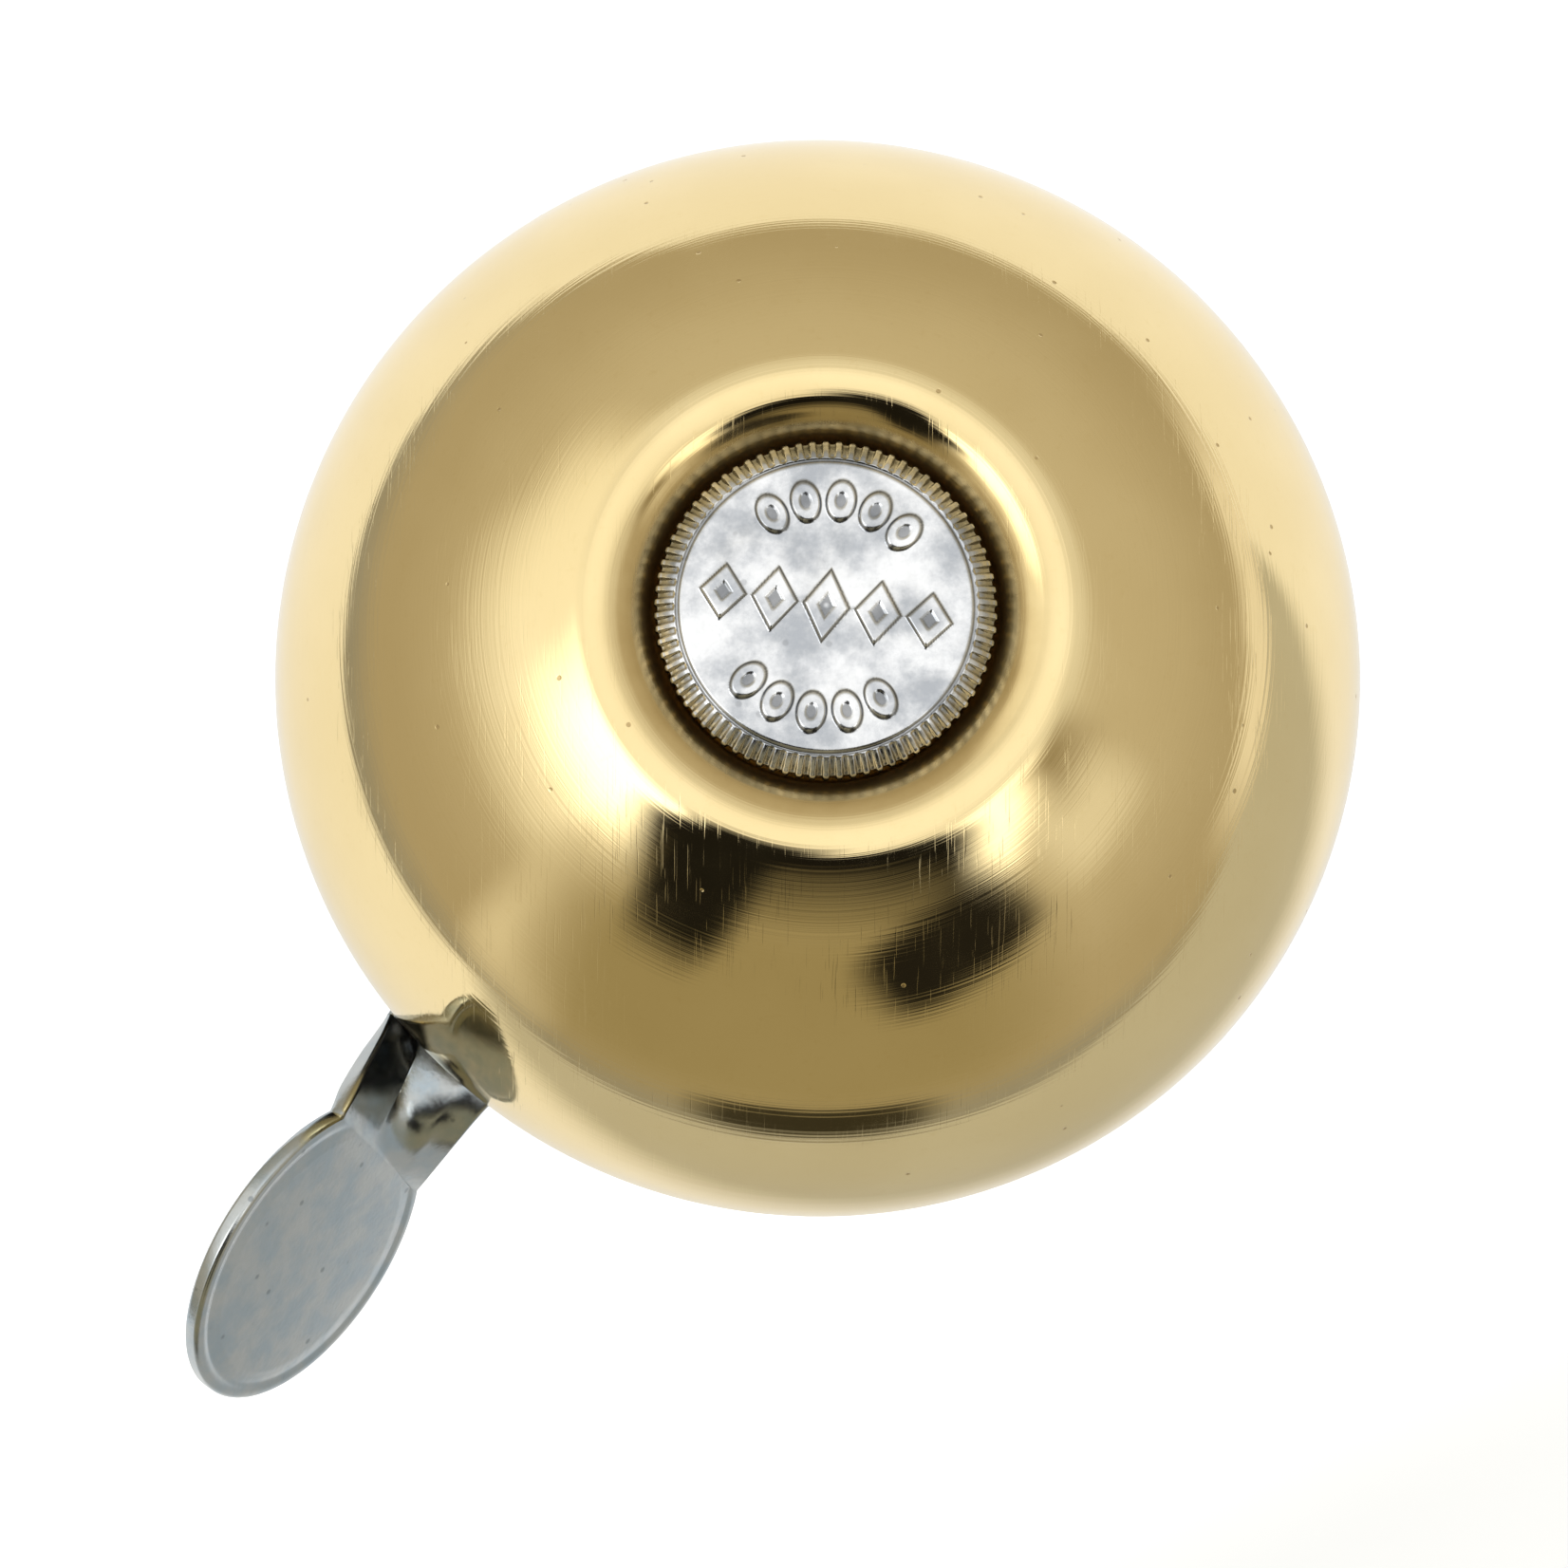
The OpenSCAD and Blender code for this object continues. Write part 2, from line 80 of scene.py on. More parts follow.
# ------------------------------------------------------------------ node helpers
class Nodes:
    def __init__(self, tree):
        self.t = tree
        self.t.nodes.clear()

    def add(self, kind, **props):
        n = self.t.nodes.new(kind)
        for k, v in props.items():
            setattr(n, k, v)
        return n

    def put(self, socket, value):
        if isinstance(value, bpy.types.NodeSocket):
            self.t.links.new(value, socket)
        elif isinstance(value, bpy.types.Node):
            self.t.links.new(value.outputs[0], socket)
        else:
            socket.default_value = value

    def math(self, op, a, b=None, c=None, clamp=False):
        n = self.add("ShaderNodeMath", operation=op, use_clamp=clamp)
        self.put(n.inputs[0], a)
        if b is not None:
            self.put(n.inputs[1], b)
        if c is not None:
            self.put(n.inputs[2], c)
        return n.outputs[0]

    def vmath(self, op, a, b=None, out=0):
        n = self.add("ShaderNodeVectorMath", operation=op)
        self.put(n.inputs[0], a)
        if b is not None:
            self.put(n.inputs[1], b)
        return n.outputs["Value"] if op in ("DOT_PRODUCT", "LENGTH") else n.outputs[out]

    def ramp(self, value, lo, hi, a=0.0, b=1.0, smooth=True):
        n = self.add("ShaderNodeMapRange", interpolation_type="SMOOTHSTEP" if smooth else "LINEAR", clamp=True)
        self.put(n.inputs["Value"], value)
        self.put(n.inputs["From Min"], lo)
        self.put(n.inputs["From Max"], hi)
        self.put(n.inputs["To Min"], a)
        self.put(n.inputs["To Max"], b)
        return n.outputs[0]

    def mix(self, fac, a, b, blend="MIX"):
        n = self.add("ShaderNodeMix", data_type="RGBA", blend_type=blend)
        self.put(n.inputs[0], fac)
        self.put(n.inputs[6], a)
        self.put(n.inputs[7], b)
        return n.outputs[2]

    def noise(self, vec, scale, detail=2.0, rough=0.5, dist=0.0, dims="3D"):
        n = self.add("ShaderNodeTexNoise", noise_dimensions=dims)
        if dims == "1D":
            self.put(n.inputs["W"], vec)
        else:
            self.put(n.inputs["Vector"], vec)
        n.inputs["Scale"].default_value = scale
        n.inputs["Detail"].default_value = detail
        n.inputs["Roughness"].default_value = rough
        n.inputs["Distortion"].default_value = dist
        return n.outputs[0]

    def mapping(self, vec, scale=(1, 1, 1), rot=(0, 0, 0), loc=(0, 0, 0)):
        n = self.add("ShaderNodeMapping")
        self.put(n.inputs["Vector"], vec)
        n.inputs["Scale"].default_value = scale
        n.inputs["Rotation"].default_value = [RAD(a) for a in rot]
        n.inputs["Location"].default_value = loc
        return n.outputs[0]


def col(c):
    return (c[0], c[1], c[2], 1.0)


def material(name, build):
    m = bpy.data.materials.new(name)
    m.use_nodes = True
    g = Nodes(m.node_tree)
    out = g.add("ShaderNodeOutputMaterial")
    bsdf = g.add("ShaderNodeBsdfPrincipled")
    m.node_tree.links.new(bsdf.outputs[0], out.inputs[0])
    build(g, bsdf)
    return m


def millimetres(g):
    return g.mapping(g.add("ShaderNodeTexCoord").outputs["Object"], scale=(1000, 1000, 1000))


def scratches(g, p, turn, across, along, keep, offset=0.0):
    """Thin straight polishing lines at one heading, as a 0 to 1 mask."""
    v = g.mapping(p, scale=(across, along, along), rot=(0, 0, turn), loc=(offset, offset, offset))
    return g.ramp(g.noise(v, 1.0, detail=1.0), 1.0 - keep, 1.0 - keep + 0.07)


def brass_build(g, b):
    p = millimetres(g)
    cloud = g.noise(p, 0.11, detail=3.0)
    fine = g.noise(p, 1.9, detail=4.0, rough=0.6)
    c = g.mix(g.ramp(cloud, 0.35, 0.7), col((0.74, 0.595, 0.315)), col((0.77, 0.625, 0.34)))
    c = g.mix(g.math("MULTIPLY", g.ramp(fine, 0.55, 0.8), 0.25), c, col((0.68, 0.52, 0.24)))
    lines = g.math("ADD", scratches(g, p, 20, 9, 0.25, 0.33), scratches(g, p, 71, 11, 0.3, 0.33, 7.0))
    lines = g.math("ADD", lines, scratches(g, p, 128, 8, 0.22, 0.32, 13.0))
    radius = g.vmath("LENGTH", g.mapping(p, scale=(1, 1, 0)))
    spun = g.noise(g.math("MULTIPLY", radius, 7.0), 1.0, detail=3.0, dims="1D")
    vor = g.add("ShaderNodeTexVoronoi", feature="F1")
    g.put(vor.inputs["Vector"], p)
    vor.inputs["Scale"].default_value = 0.34
    vor.inputs["Randomness"].default_value = 1.0
    pits = g.ramp(vor.outputs["Distance"], 0.03, 0.055, 1.0, 0.0)
    c = g.mix(g.math("MULTIPLY", pits, 0.55), c, col((0.30, 0.19, 0.07)))
    # painted shade: the inside of the dome is coloured near black brown, far darker than the outside; its higher
    # roughness below is the real unpolished finish
    inner = g.add("ShaderNodeAttribute", attribute_name="inside").outputs["Fac"]
    inside_shade_colour = g.mix(g.ramp(g.noise(p, 0.25, detail=5.0, rough=0.65), 0.35, 0.7), col((0.10, 0.068, 0.032)), col((0.20, 0.14, 0.065)))
    # painted shade with some tarnish: the well around the nut is coloured dark brown, strongest next to the nut and
    # fading out by its lip; noise varies how strong it is
    well = g.ramp(radius, 9.8, 12.6, 1.0, 0.0)
    tarnish_and_shade_strength = g.ramp(g.noise(p, 0.5, detail=4.0), 0.25, 0.75, 0.55, 0.85)
    c = g.mix(g.math("MULTIPLY", well, tarnish_and_shade_strength), c, col((0.47, 0.335, 0.135)))
    g.put(b.inputs["Base Color"], g.mix(inner, c, inside_shade_colour))
    b.inputs["Metallic"].default_value = 1.0
    r = g.math("MULTIPLY_ADD", lines, 0.030, g.ramp(g.noise(p, 0.35, detail=4.0), 0.3, 0.75, 0.045, 0.105))
    r = g.math("MULTIPLY_ADD", inner, 0.30, r)
    r = g.math("MULTIPLY_ADD", g.ramp(radius, 9.6, 11.2, 1.0, 0.0), 0.26, r)
    g.put(b.inputs["Roughness"], g.math("MULTIPLY_ADD", pits, 0.25, r))
    h = g.math("MULTIPLY_ADD", lines, -0.10, g.math("MULTIPLY", spun, 0.35))
    h = g.math("MULTIPLY_ADD", g.noise(p, 0.16, detail=1.0), 2.6, h)
    h = g.math("MULTIPLY_ADD", pits, -1.2, h)
    bump = g.add("ShaderNodeBump")
    bump.inputs["Strength"].default_value = 0.30
    bump.inputs["Distance"].default_value = 0.00004
    g.put(bump.inputs["Height"], h)
    g.put(b.inputs["Normal"], bump.outputs[0])


def metal_build(base, dark, rough, spread, grain=4.0, bump_d=0.00002, specks=0.0, turned=False, blotch=0.12, cavity_shade=0.0):
    def build(g, b):
        p = millimetres(g)
        cloud = g.noise(p, blotch, detail=5.0, rough=0.6)
        fine = g.noise(p, grain, detail=4.0, rough=0.65)
        c = g.mix(g.ramp(cloud, 0.35, 0.68), col(base), col(dark))
        c = g.mix(g.math("MULTIPLY", g.ramp(fine, 0.45, 0.85), 0.35), c, col([v * 0.78 for v in base]))
        if specks:
            vor = g.add("ShaderNodeTexVoronoi", feature="F1")
            g.put(vor.inputs["Vector"], p)
            vor.inputs["Scale"].default_value = 0.55
            s = g.math("MULTIPLY", g.ramp(vor.outputs["Distance"], 0.06, 0.13, 1.0, 0.0), specks)
            c = g.mix(s, c, col([v * 0.45 for v in dark]))
        # painted shade: where the mesh's cavity value is high, the colour is darkened towards near black
        if cavity_shade:
            a = g.add("ShaderNodeAttribute", attribute_name="cavity_shade")
            c = g.mix(g.math("MULTIPLY", a.outputs["Fac"], cavity_shade), c, col([v * 0.28 for v in dark]))
        g.put(b.inputs["Base Color"], c)
        b.inputs["Metallic"].default_value = 1.0
        rr = g.ramp(g.noise(p, 0.9, detail=5.0, rough=0.6), 0.3, 0.72, rough - spread, rough + spread)
        rr = g.math("MULTIPLY_ADD", fine, spread * 0.6, rr)
        g.put(b.inputs["Roughness"], rr)
        h = g.math("ADD", fine, g.math("MULTIPLY", g.noise(p, 0.6, detail=3.0), 1.5))
        if turned:
            radius = g.vmath("LENGTH", g.mapping(p, scale=(1, 1, 0)))
            h = g.math("MULTIPLY_ADD", g.noise(g.math("MULTIPLY", radius, 9.0), 1.0, detail=2.0, dims="1D"), 1.5, h)
        bump = g.add("ShaderNodeBump")
        bump.inputs["Strength"].default_value = 0.35
        bump.inputs["Distance"].default_value = bump_d
        g.put(bump.inputs["Height"], h)
        g.put(b.inputs["Normal"], bump.outputs[0])

    return build


def fibre_build(g, b):
    p = millimetres(g)
    n = g.noise(p, 3.0, detail=6.0, rough=0.7)
    g.put(b.inputs["Base Color"], g.mix(n, col((0.20, 0.06, 0.035)), col((0.36, 0.14, 0.07))))
    g.put(b.inputs["Roughness"], g.ramp(n, 0.2, 0.8, 0.55, 0.8))
    bump = g.add("ShaderNodeBump")
    bump.inputs["Strength"].default_value = 0.5
    bump.inputs["Distance"].default_value = 0.00005
    g.put(bump.inputs["Height"], n)
    g.put(b.inputs["Normal"], bump.outputs[0])


BRASS = material("polished_brass", brass_build)
LEVER = material("plated_lever", metal_build((0.44, 0.46, 0.46), (0.345, 0.405, 0.445), 0.19, 0.05, grain=3.0, specks=0.6, blotch=0.42))
# the cap's grooves, ornament outlines and sides are darkened with painted shade through its cavity values
CAP = material("plated_cap", metal_build((0.74, 0.75, 0.765), (0.36, 0.38, 0.41), 0.17, 0.06, grain=2.2, bump_d=0.00003, specks=0.35, blotch=0.35, cavity_shade=0.85))
ZINC = material("bright_zinc", metal_build((0.70, 0.73, 0.77), (0.60, 0.64, 0.70), 0.27, 0.06, grain=5.0, specks=0.25, blotch=0.09))
SCREW = material("zinc_screw", metal_build((0.73, 0.74, 0.76), (0.60, 0.61, 0.64), 0.24, 0.06, grain=6.0, turned=False, blotch=0.2, cavity_shade=0.8))
STEEL = material("turned_steel", metal_build((0.60, 0.60, 0.61), (0.50, 0.50, 0.52), 0.26, 0.06, grain=6.0, turned=True, blotch=0.3))
SPRING = material("spring_steel", metal_build((0.26, 0.265, 0.28), (0.19, 0.19, 0.21), 0.30, 0.07, grain=7.0, blotch=0.5))
GEAR = material("stamped_brass", metal_build((0.74, 0.56, 0.27), (0.62, 0.45, 0.20), 0.28, 0.07, grain=4.0, specks=0.3, blotch=0.2))
FIBRE = material("red_fibre", fibre_build)


def enamel_build(g, b):
    p = millimetres(g)
    n = g.noise(p, 1.3, detail=5.0, rough=0.6)
    peel = g.noise(p, 2.6, detail=2.0)
    c = g.mix(g.ramp(n, 0.35, 0.75), col((0.012, 0.012, 0.014)), col((0.022, 0.022, 0.025)))
    dust = g.ramp(g.noise(p, 9.0, detail=3.0), 0.66, 0.80)
    c = g.mix(g.math("MULTIPLY", dust, 0.25), c, col((0.12, 0.12, 0.12)))
    g.put(b.inputs["Base Color"], c)
    g.put(b.inputs["Roughness"], g.ramp(n, 0.3, 0.75, 0.22, 0.36))
    b.inputs["Coat Weight"].default_value = 0.35
    b.inputs["Coat Roughness"].default_value = 0.15
    bump = g.add("ShaderNodeBump")
    bump.inputs["Strength"].default_value = 0.25
    bump.inputs["Distance"].default_value = 0.00003
    g.put(bump.inputs["Height"], peel)
    g.put(b.inputs["Normal"], bump.outputs[0])


ENAMEL = material("black_enamel", enamel_build)
PAINT = {
    "brass": BRASS, "brass_insert": GEAR, "gear_brass": GEAR, "steel": STEEL, "spring_steel": SPRING,
    "zinc_plate": ZINC, "zinc_screw": SCREW, "plated_cap": CAP, "plated_lever": LEVER, "fibre": FIBRE, "dark_enamel": ENAMEL,
}
node_slot = {s["node"]: s["material_slot"] for s in frame["record"]["subparts"]}
for n, o in frame["nodes"].items():
    o.data.materials.clear()
    o.data.materials.append(PAINT[node_slot[n]])

# ------------------------------------------------------------------ mesh helpers (all inputs in millimetres)
body_of = {n: b for b, ns in frame["record"]["behaviour"]["bodies"].items() for n in ns}


def finish_piece(name, me, node, mat=None, sharp=32.0, hide=True):
    me.materials.clear()
    me.materials.append(mat or PAINT[node_slot[node]])
    me.shade_smooth()
    me.set_sharp_from_angle(angle=RAD(sharp))
    o = bpy.data.objects.new(name, me)
    bpy.context.scene.collection.objects.link(o)
    if hide:
        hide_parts(node)
    return o


def mesh_from(verts, faces, name="m"):
    me = bpy.data.meshes.new(name)
    me.from_pydata([(x * MM, y * MM, z * MM) for x, y, z in verts], [], faces)
    me.validate()
    bm = bmesh.new()
    bm.from_mesh(me)
    bmesh.ops.remove_doubles(bm, verts=bm.verts, dist=1e-7)
    bmesh.ops.recalc_face_normals(bm, faces=bm.faces)
    bm.to_mesh(me)
    bm.free()
    return me


def revolve(profile, seg=192, at=(0, 0)):
    """A closed (r, z) profile turned about a vertical axis."""
    verts, faces = [], []
    n = len(profile)
    for i in range(seg):
        a = 2 * math.pi * i / seg
        for r, z in profile:
            verts.append((at[0] + r * math.cos(a), at[1] + r * math.sin(a), z))
    for i in range(seg):
        j = (i + 1) % seg
        for k in range(n):
            m = (k + 1) % n
            if profile[k][0] < 1e-9 and profile[m][0] < 1e-9:
                continue
            faces.append((i * n + k, j * n + k, j * n + m, i * n + m))
    return mesh_from(verts, faces)


def extrude(outline, z0, z1, to=lambda x, y, z: (x, y, z)):
    n = len(outline)
    verts = [to(x, y, z0) for x, y in outline] + [to(x, y, z1) for x, y in outline]
    faces = [tuple(range(n)), tuple(range(2 * n - 1, n - 1, -1))]
    faces += [(i, n + i, n + (i + 1) % n, (i + 1) % n) for i in range(n)]
    return mesh_from(verts, faces)


def rounded(points, radius, steps=6):
    """A closed outline whose corners are rounded; radius is one number or one for each corner."""
    out = []
    n = len(points)
    for i in range(n):
        p, a, b = Vector(points[i]), Vector(points[i - 1]), Vector(points[(i + 1) % n])
        r = radius[i] if isinstance(radius, (list, tuple)) else radius
        u, v = (a - p), (b - p)
        lu, lv = u.length, v.length
        if r <= 0 or lu < 1e-9 or lv < 1e-9:
            out.append(tuple(p))
            continue
        u, v = u / lu, v / lv
        half = math.acos(max(-1, min(1, u.dot(v)))) / 2
        if half > RAD(89):
            out.append(tuple(p))
            continue
        d = min(r / math.tan(half), lu * 0.49, lv * 0.49)
        rr = d * math.tan(half)
        c = p + (u + v).normalized() * (rr / math.sin(half))
        s, e = p + u * d, p + v * d
        a0 = math.atan2(s.y - c.y, s.x - c.x)
        a1 = math.atan2(e.y - c.y, e.x - c.x)
        da = (a1 - a0 + math.pi) % (2 * math.pi) - math.pi
        out += [(c.x + rr * math.cos(a0 + da * k / steps), c.y + rr * math.sin(a0 + da * k / steps)) for k in range(steps + 1)]
    return out


def carve(me, cutters, bevel=0.0, segments=2, angle=32.0):
    """Cuts solids out of a mesh, then rounds the sharp edges by bevel millimetres."""
    o = bpy.data.objects.new("work", me)
    bpy.context.scene.collection.objects.link(o)
    made = []
    for c in cutters:
        k = bpy.data.objects.new("cutter", c)
        bpy.context.scene.collection.objects.link(k)
        made.append(k)
        m = o.modifiers.new("cut", "BOOLEAN")
        m.operation = "DIFFERENCE"
        m.solver = "EXACT"
        m.object = k
    if bevel:
        m = o.modifiers.new("edge", "BEVEL")
        m.width = bevel * MM
        m.segments = segments
        m.limit_method = "ANGLE"
        m.angle_limit = RAD(angle)
        m.miter_outer = "MITER_ARC"
        m.use_clamp_overlap = True
    bpy.context.view_layer.update()
    out = bpy.data.meshes.new_from_object(o.evaluated_get(bpy.context.evaluated_depsgraph_get()))
    for k in made + [o]:
        bpy.data.objects.remove(k)
    return out


def refined(node, bevel=0.08, segments=2, angle=32.0):
    """A CAD node whose shape is right, with its sharp edges softened."""
    me = frame["nodes"][node].data.copy()
    bm = bmesh.new()
    bm.from_mesh(me)
    bmesh.ops.remove_doubles(bm, verts=bm.verts, dist=2e-7)
    bmesh.ops.dissolve_limit(bm, angle_limit=RAD(1.0), verts=bm.verts, edges=bm.edges)
    bm.to_mesh(me)
    bm.free()
    out = carve(me, [], bevel, segments, angle)
    o = finish_piece(node + "_finished", out, node, sharp=40.0)
    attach(o, body_of[node])
    return o


def smooth(x):
    x = min(1.0, max(0.0, x))
    return x * x * (3 - 2 * x)


# ------------------------------------------------------------------ gong
GR, GB, GT, LR, WD = 30.0, 24.0, 1.2, 3.3, 4.3
RIM = 24.1
t1 = math.acos(13.6 / GR)
ell = lambda t: (GR * math.cos(t), GB * math.sin(t))
ell_a = lambda t: math.atan2(math.cos(t) / GR, math.sin(t) / GB)
lip_c = (ell(t1)[0] - LR * math.sin(ell_a(t1)), ell(t1)[1] - LR * math.cos(ell_a(t1)))
crest = lip_c[1] + LR
well = crest - WD
FIL = 0.5
lam = lip_c[1] + LR * math.cos(RAD(-80)) - (well + FIL * (1 - math.cos(RAD(80))))
fil_r = lip_c[0] + LR * math.sin(RAD(-80)) - lam * math.tan(RAD(10)) - FIL * math.sin(RAD(80))
a1 = ell_a(t1)


def softened(pts, w):
    """Averages a polyline along its own length over a window of half width w, away from its outer end."""
    q = np.array(pts)
    run = np.concatenate([[0], np.cumsum(np.hypot(*np.diff(q, axis=0).T))])
    k_ = np.cos(np.linspace(-1, 1, 61) * math.pi / 2) ** 2
    out_pts = []
    for s_, p_ in zip(run, q):
        f_ = smooth((23.0 - p_[0]) / 6.0)
        t_ = s_ + np.linspace(-w, w, 61)
        m_ = np.array([np.interp(t_, run, q[:, 0]) @ k_, np.interp(t_, run, q[:, 1]) @ k_]) / k_.sum()
        out_pts.append(tuple(float(v) for v in p_ * (1 - f_) + m_ * f_))
    return out_pts


wall_top = (lip_c[0] + LR * math.sin(RAD(-80)), lip_c[1] + LR * math.cos(RAD(-80)))
dense = [ell(t1 * i / 260) for i in range(1, 261)]
dense += [(lip_c[0] + LR * math.sin(a), lip_c[1] + LR * math.cos(a)) for a in [a1 + (RAD(-80) - a1) * i / 90 for i in range(1, 91)]]
dense += [(wall_top[0] - 0.1 * i * math.sin(RAD(10)), wall_top[1] - 0.1 * i * math.cos(RAD(10))) for i in range(1, 40)]
soft_pts = softened(dense, 1.5)
soft_pts = [q_ for i, q_ in enumerate(soft_pts) if (q_[0] > 11 or q_[1] > well + FIL + 0.05) and (i % 2 == 0 or q_[0] < 16)]
soft_pts += [(fil_r - FIL * math.sin(a), well + FIL - FIL * math.cos(a)) for a in [RAD(-80 + 80 * i / 14) for i in range(15)]]
outer = []
for i, q_ in enumerate(soft_pts):
    n0, n1 = soft_pts[max(0, i - 1)], soft_pts[min(len(soft_pts) - 1, i + 1)]
    outer.append((q_, math.atan2(n1[1] - n0[1], n0[0] - n1[0])))
prof = [(p[0], RIM + p[1]) for p, a in outer]
prof += [(2.9, RIM + well), (2.7, RIM + well - 0.2), (2.7, RIM + well - GT + 0.2), (2.9, RIM + well - GT)]
prof += [(p[0] - GT * math.sin(a), RIM + p[1] - GT * math.cos(a)) for p, a in reversed(outer)]
rim_r = 0.28
prof += [(GR - GT + rim_r * (1 - math.cos(RAD(b))), RIM + rim_r * (1 - math.sin(RAD(b)))) for b in (0, 22, 45, 67, 90)]
prof += [(GR - rim_r * (1 - math.sin(RAD(b))), RIM + rim_r * (1 - math.cos(RAD(b)))) for b in (0, 22, 45, 67)]
gong_me = revolve(prof, 320)
inner_from = len(outer) + 4
inside = [1.0 if inner_from <= i < inner_from + len(outer) + 2 else 0.0 for i in range(len(prof))]
if len(gong_me.vertices) == 320 * len(prof):
    at = gong_me.attributes.new("inside", "FLOAT", "POINT")
    at.data.foreach_set("value", np.tile(np.array(inside, np.float32), 320))
gong = finish_piece("gong", gong_me, "gong_dome", sharp=50)
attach(gong, "base")

# ------------------------------------------------------------------ dome nut cap
CR, CT = 9.1, 78
lo, hi = RIM + well + 0.05, RIM + crest - 0.25


def cap_height(x, y):
    """Raised ornament on the cap's face: lozenges in a row between two arcs of oval beads."""
    c, s = math.cos(RAD(8)), math.sin(RAD(8))
    u, v = x * c - y * s, x * s + y * c
    h = 0.0
    for i in range(-2, 3):
        d = abs(u - i * 2.75) / 1.33 + abs(v) / (2.12 - abs(i) * 0.25)
        h = max(h, 0.19 * smooth((1.0 - d) / 0.20) - 0.10 * smooth((0.42 - d) / 0.16))
    for side in (-1, 1):
        for i in range(-2, 3):
            a = RAD(-8 + side * 90 + i * 19)
            along, across = x * math.cos(a) + y * math.sin(a) - 5.72, y * math.cos(a) - x * math.sin(a)
            d = math.hypot(along / 1.22, across / 0.88)
            h = max(h, 0.17 * smooth((1.0 - d) / 0.26) - 0.08 * smooth((0.45 - d) / 0.20))
    return h


def cap_wave(x, y):
    """The thin cap's face is pressed a little unevenly."""
    e = smooth((7.6 - math.hypot(x, y)) / 2.5)
    return e * 0.075 * (math.sin(0.62 * x + 0.35 * y + 0.6) * math.cos(0.50 * y - 0.21 * x + 1.1) + 0.5 * math.sin(1.13 * x - 0.8 * y + 2.0))


def knurl(frac):
    """0 on a rib's crown, 1 in the groove beside it."""
    f = abs(frac - 0.5) * 2
    return smooth((f - 0.30) / 0.45)


cap_rows = []          # (r, z, groove depth)
cap_rows += [(8.45, hi - 1.66, 0.0), (8.90, hi - 1.68, 0.08), (CR - 0.04, hi - 1.60, 0.20)]
for i in range(5):
    cap_rows.append((CR, hi - 1.52 + 0.36 * i / 4, 0.22))
for i in range(1, 9):
    a = RAD(66 * i / 8)
    cap_rows.append((CR - 0.36 + 0.36 * math.cos(a), hi - 1.16 + 0.36 * math.sin(a), 0.24 - 0.04 * (i / 8)))
sr, sz = cap_rows[-1][0], cap_rows[-1][1]
for i in range(1, 9):
    f = i / 8
    cap_rows.append((sr + (8.10 - sr) * f, sz + (hi - 0.27 - sz) * (1 - (1 - f) ** 1.25), 0.20 - 0.08 * f))
cap_rows += [(8.04, hi - 0.235, 0.03), (8.00, hi - 0.24, 0.0), (7.95, hi - 0.29, 0.0), (7.89, hi - 0.30, 0.0), (7.82, hi - 0.24, 0.0), (7.75, hi - 0.16, 0.0)]
face_from = len(cap_rows)
rr = 7.67
while rr > 0.12:
    cap_rows.append((rr, hi - 0.13 + 0.11 * (1 - (rr / 7.7) ** 2), 0.0))
    rr -= 0.085
NA = CT * 12
# the cap's vertices also carry values for painted shade in its grooves and hollows
verts, cavity_shade_values = [], []
for i in range(NA):
    ang = 2 * math.pi * i / NA
    k = knurl((i % 12) / 12.0)
    ca, sa = math.cos(ang), math.sin(ang)
    for j, (r, z, depth) in enumerate(cap_rows):
        if j < face_from:
            slope = smooth((z - (hi - 1.16)) / 0.34)
            r2, z2 = r - depth * k * (1 - 0.75 * slope), z - depth * k * 0.8 * slope
            verts.append((r2 * ca, r2 * sa, z2))
            # painted shade: the knurl grooves, the ring groove at the face's edge and the sides facing the narrow gap
            # are marked dark
            ring = 0.6 if 7.8 < r < 8.02 and z > hi - 0.32 else 0.0
            side = 0.42 * (1 - slope) if j > 0 else 0.5
            cavity_shade_values.append(max(k * min(1, depth / 0.2) * (0.75 - 0.25 * slope), ring, side))
        else:
            h = cap_height(r * ca, r * sa)
            verts.append((r * ca, r * sa, z + h + cap_wave(r * ca, r * sa)))
            # painted shade: a dark outline around each raised ornament
            cavity_shade_values.append(0.0 if h > 0.13 else smooth(h / 0.02) * smooth((0.13 - h) / 0.05) * 0.9)
M = len(cap_rows)
faces = []
for i in range(NA):
    j = (i + 1) % NA
    for k in range(M - 1):
        faces.append((i * M + k, j * M + k, j * M + k + 1, i * M + k + 1))
verts.append((0, 0, hi - 0.02 + cap_height(0, 0) + cap_wave(0, 0)))
cavity_shade_values.append(0.0)
faces += [(i * M + M - 1, ((i + 1) % NA) * M + M - 1, len(verts) - 1) for i in range(NA)]
base_i = len(verts)
inner_rows = [(8.41, hi - 1.60), (8.41, hi - 0.75)]
for i in range(NA):
    ang = 2 * math.pi * i / NA
    for r, z in inner_rows:
        verts.append((r * math.cos(ang), r * math.sin(ang), z))
        # painted shade: the cap's inner wall is marked half dark
        cavity_shade_values.append(0.5)
for i in range(NA):
    j = (i + 1) % NA
    faces.append((i * M, base_i + i * 2, base_i + j * 2, j * M))
    faces.append((base_i + i * 2, base_i + i * 2 + 1, base_i + j * 2 + 1, base_i + j * 2))
faces.append(tuple(base_i + i * 2 + 1 for i in range(NA)))
me = bpy.data.meshes.new("cap")
me.from_pydata([(x * MM, y * MM, z * MM) for x, y, z in verts], [], faces)
at = me.attributes.new("cavity_shade", "FLOAT", "POINT")
at.data.foreach_set("value", np.array(cavity_shade_values, np.float32))
cap = finish_piece("dome_nut_cap_serrated", me, "dome_nut_cap", sharp=70)
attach(cap, "base")

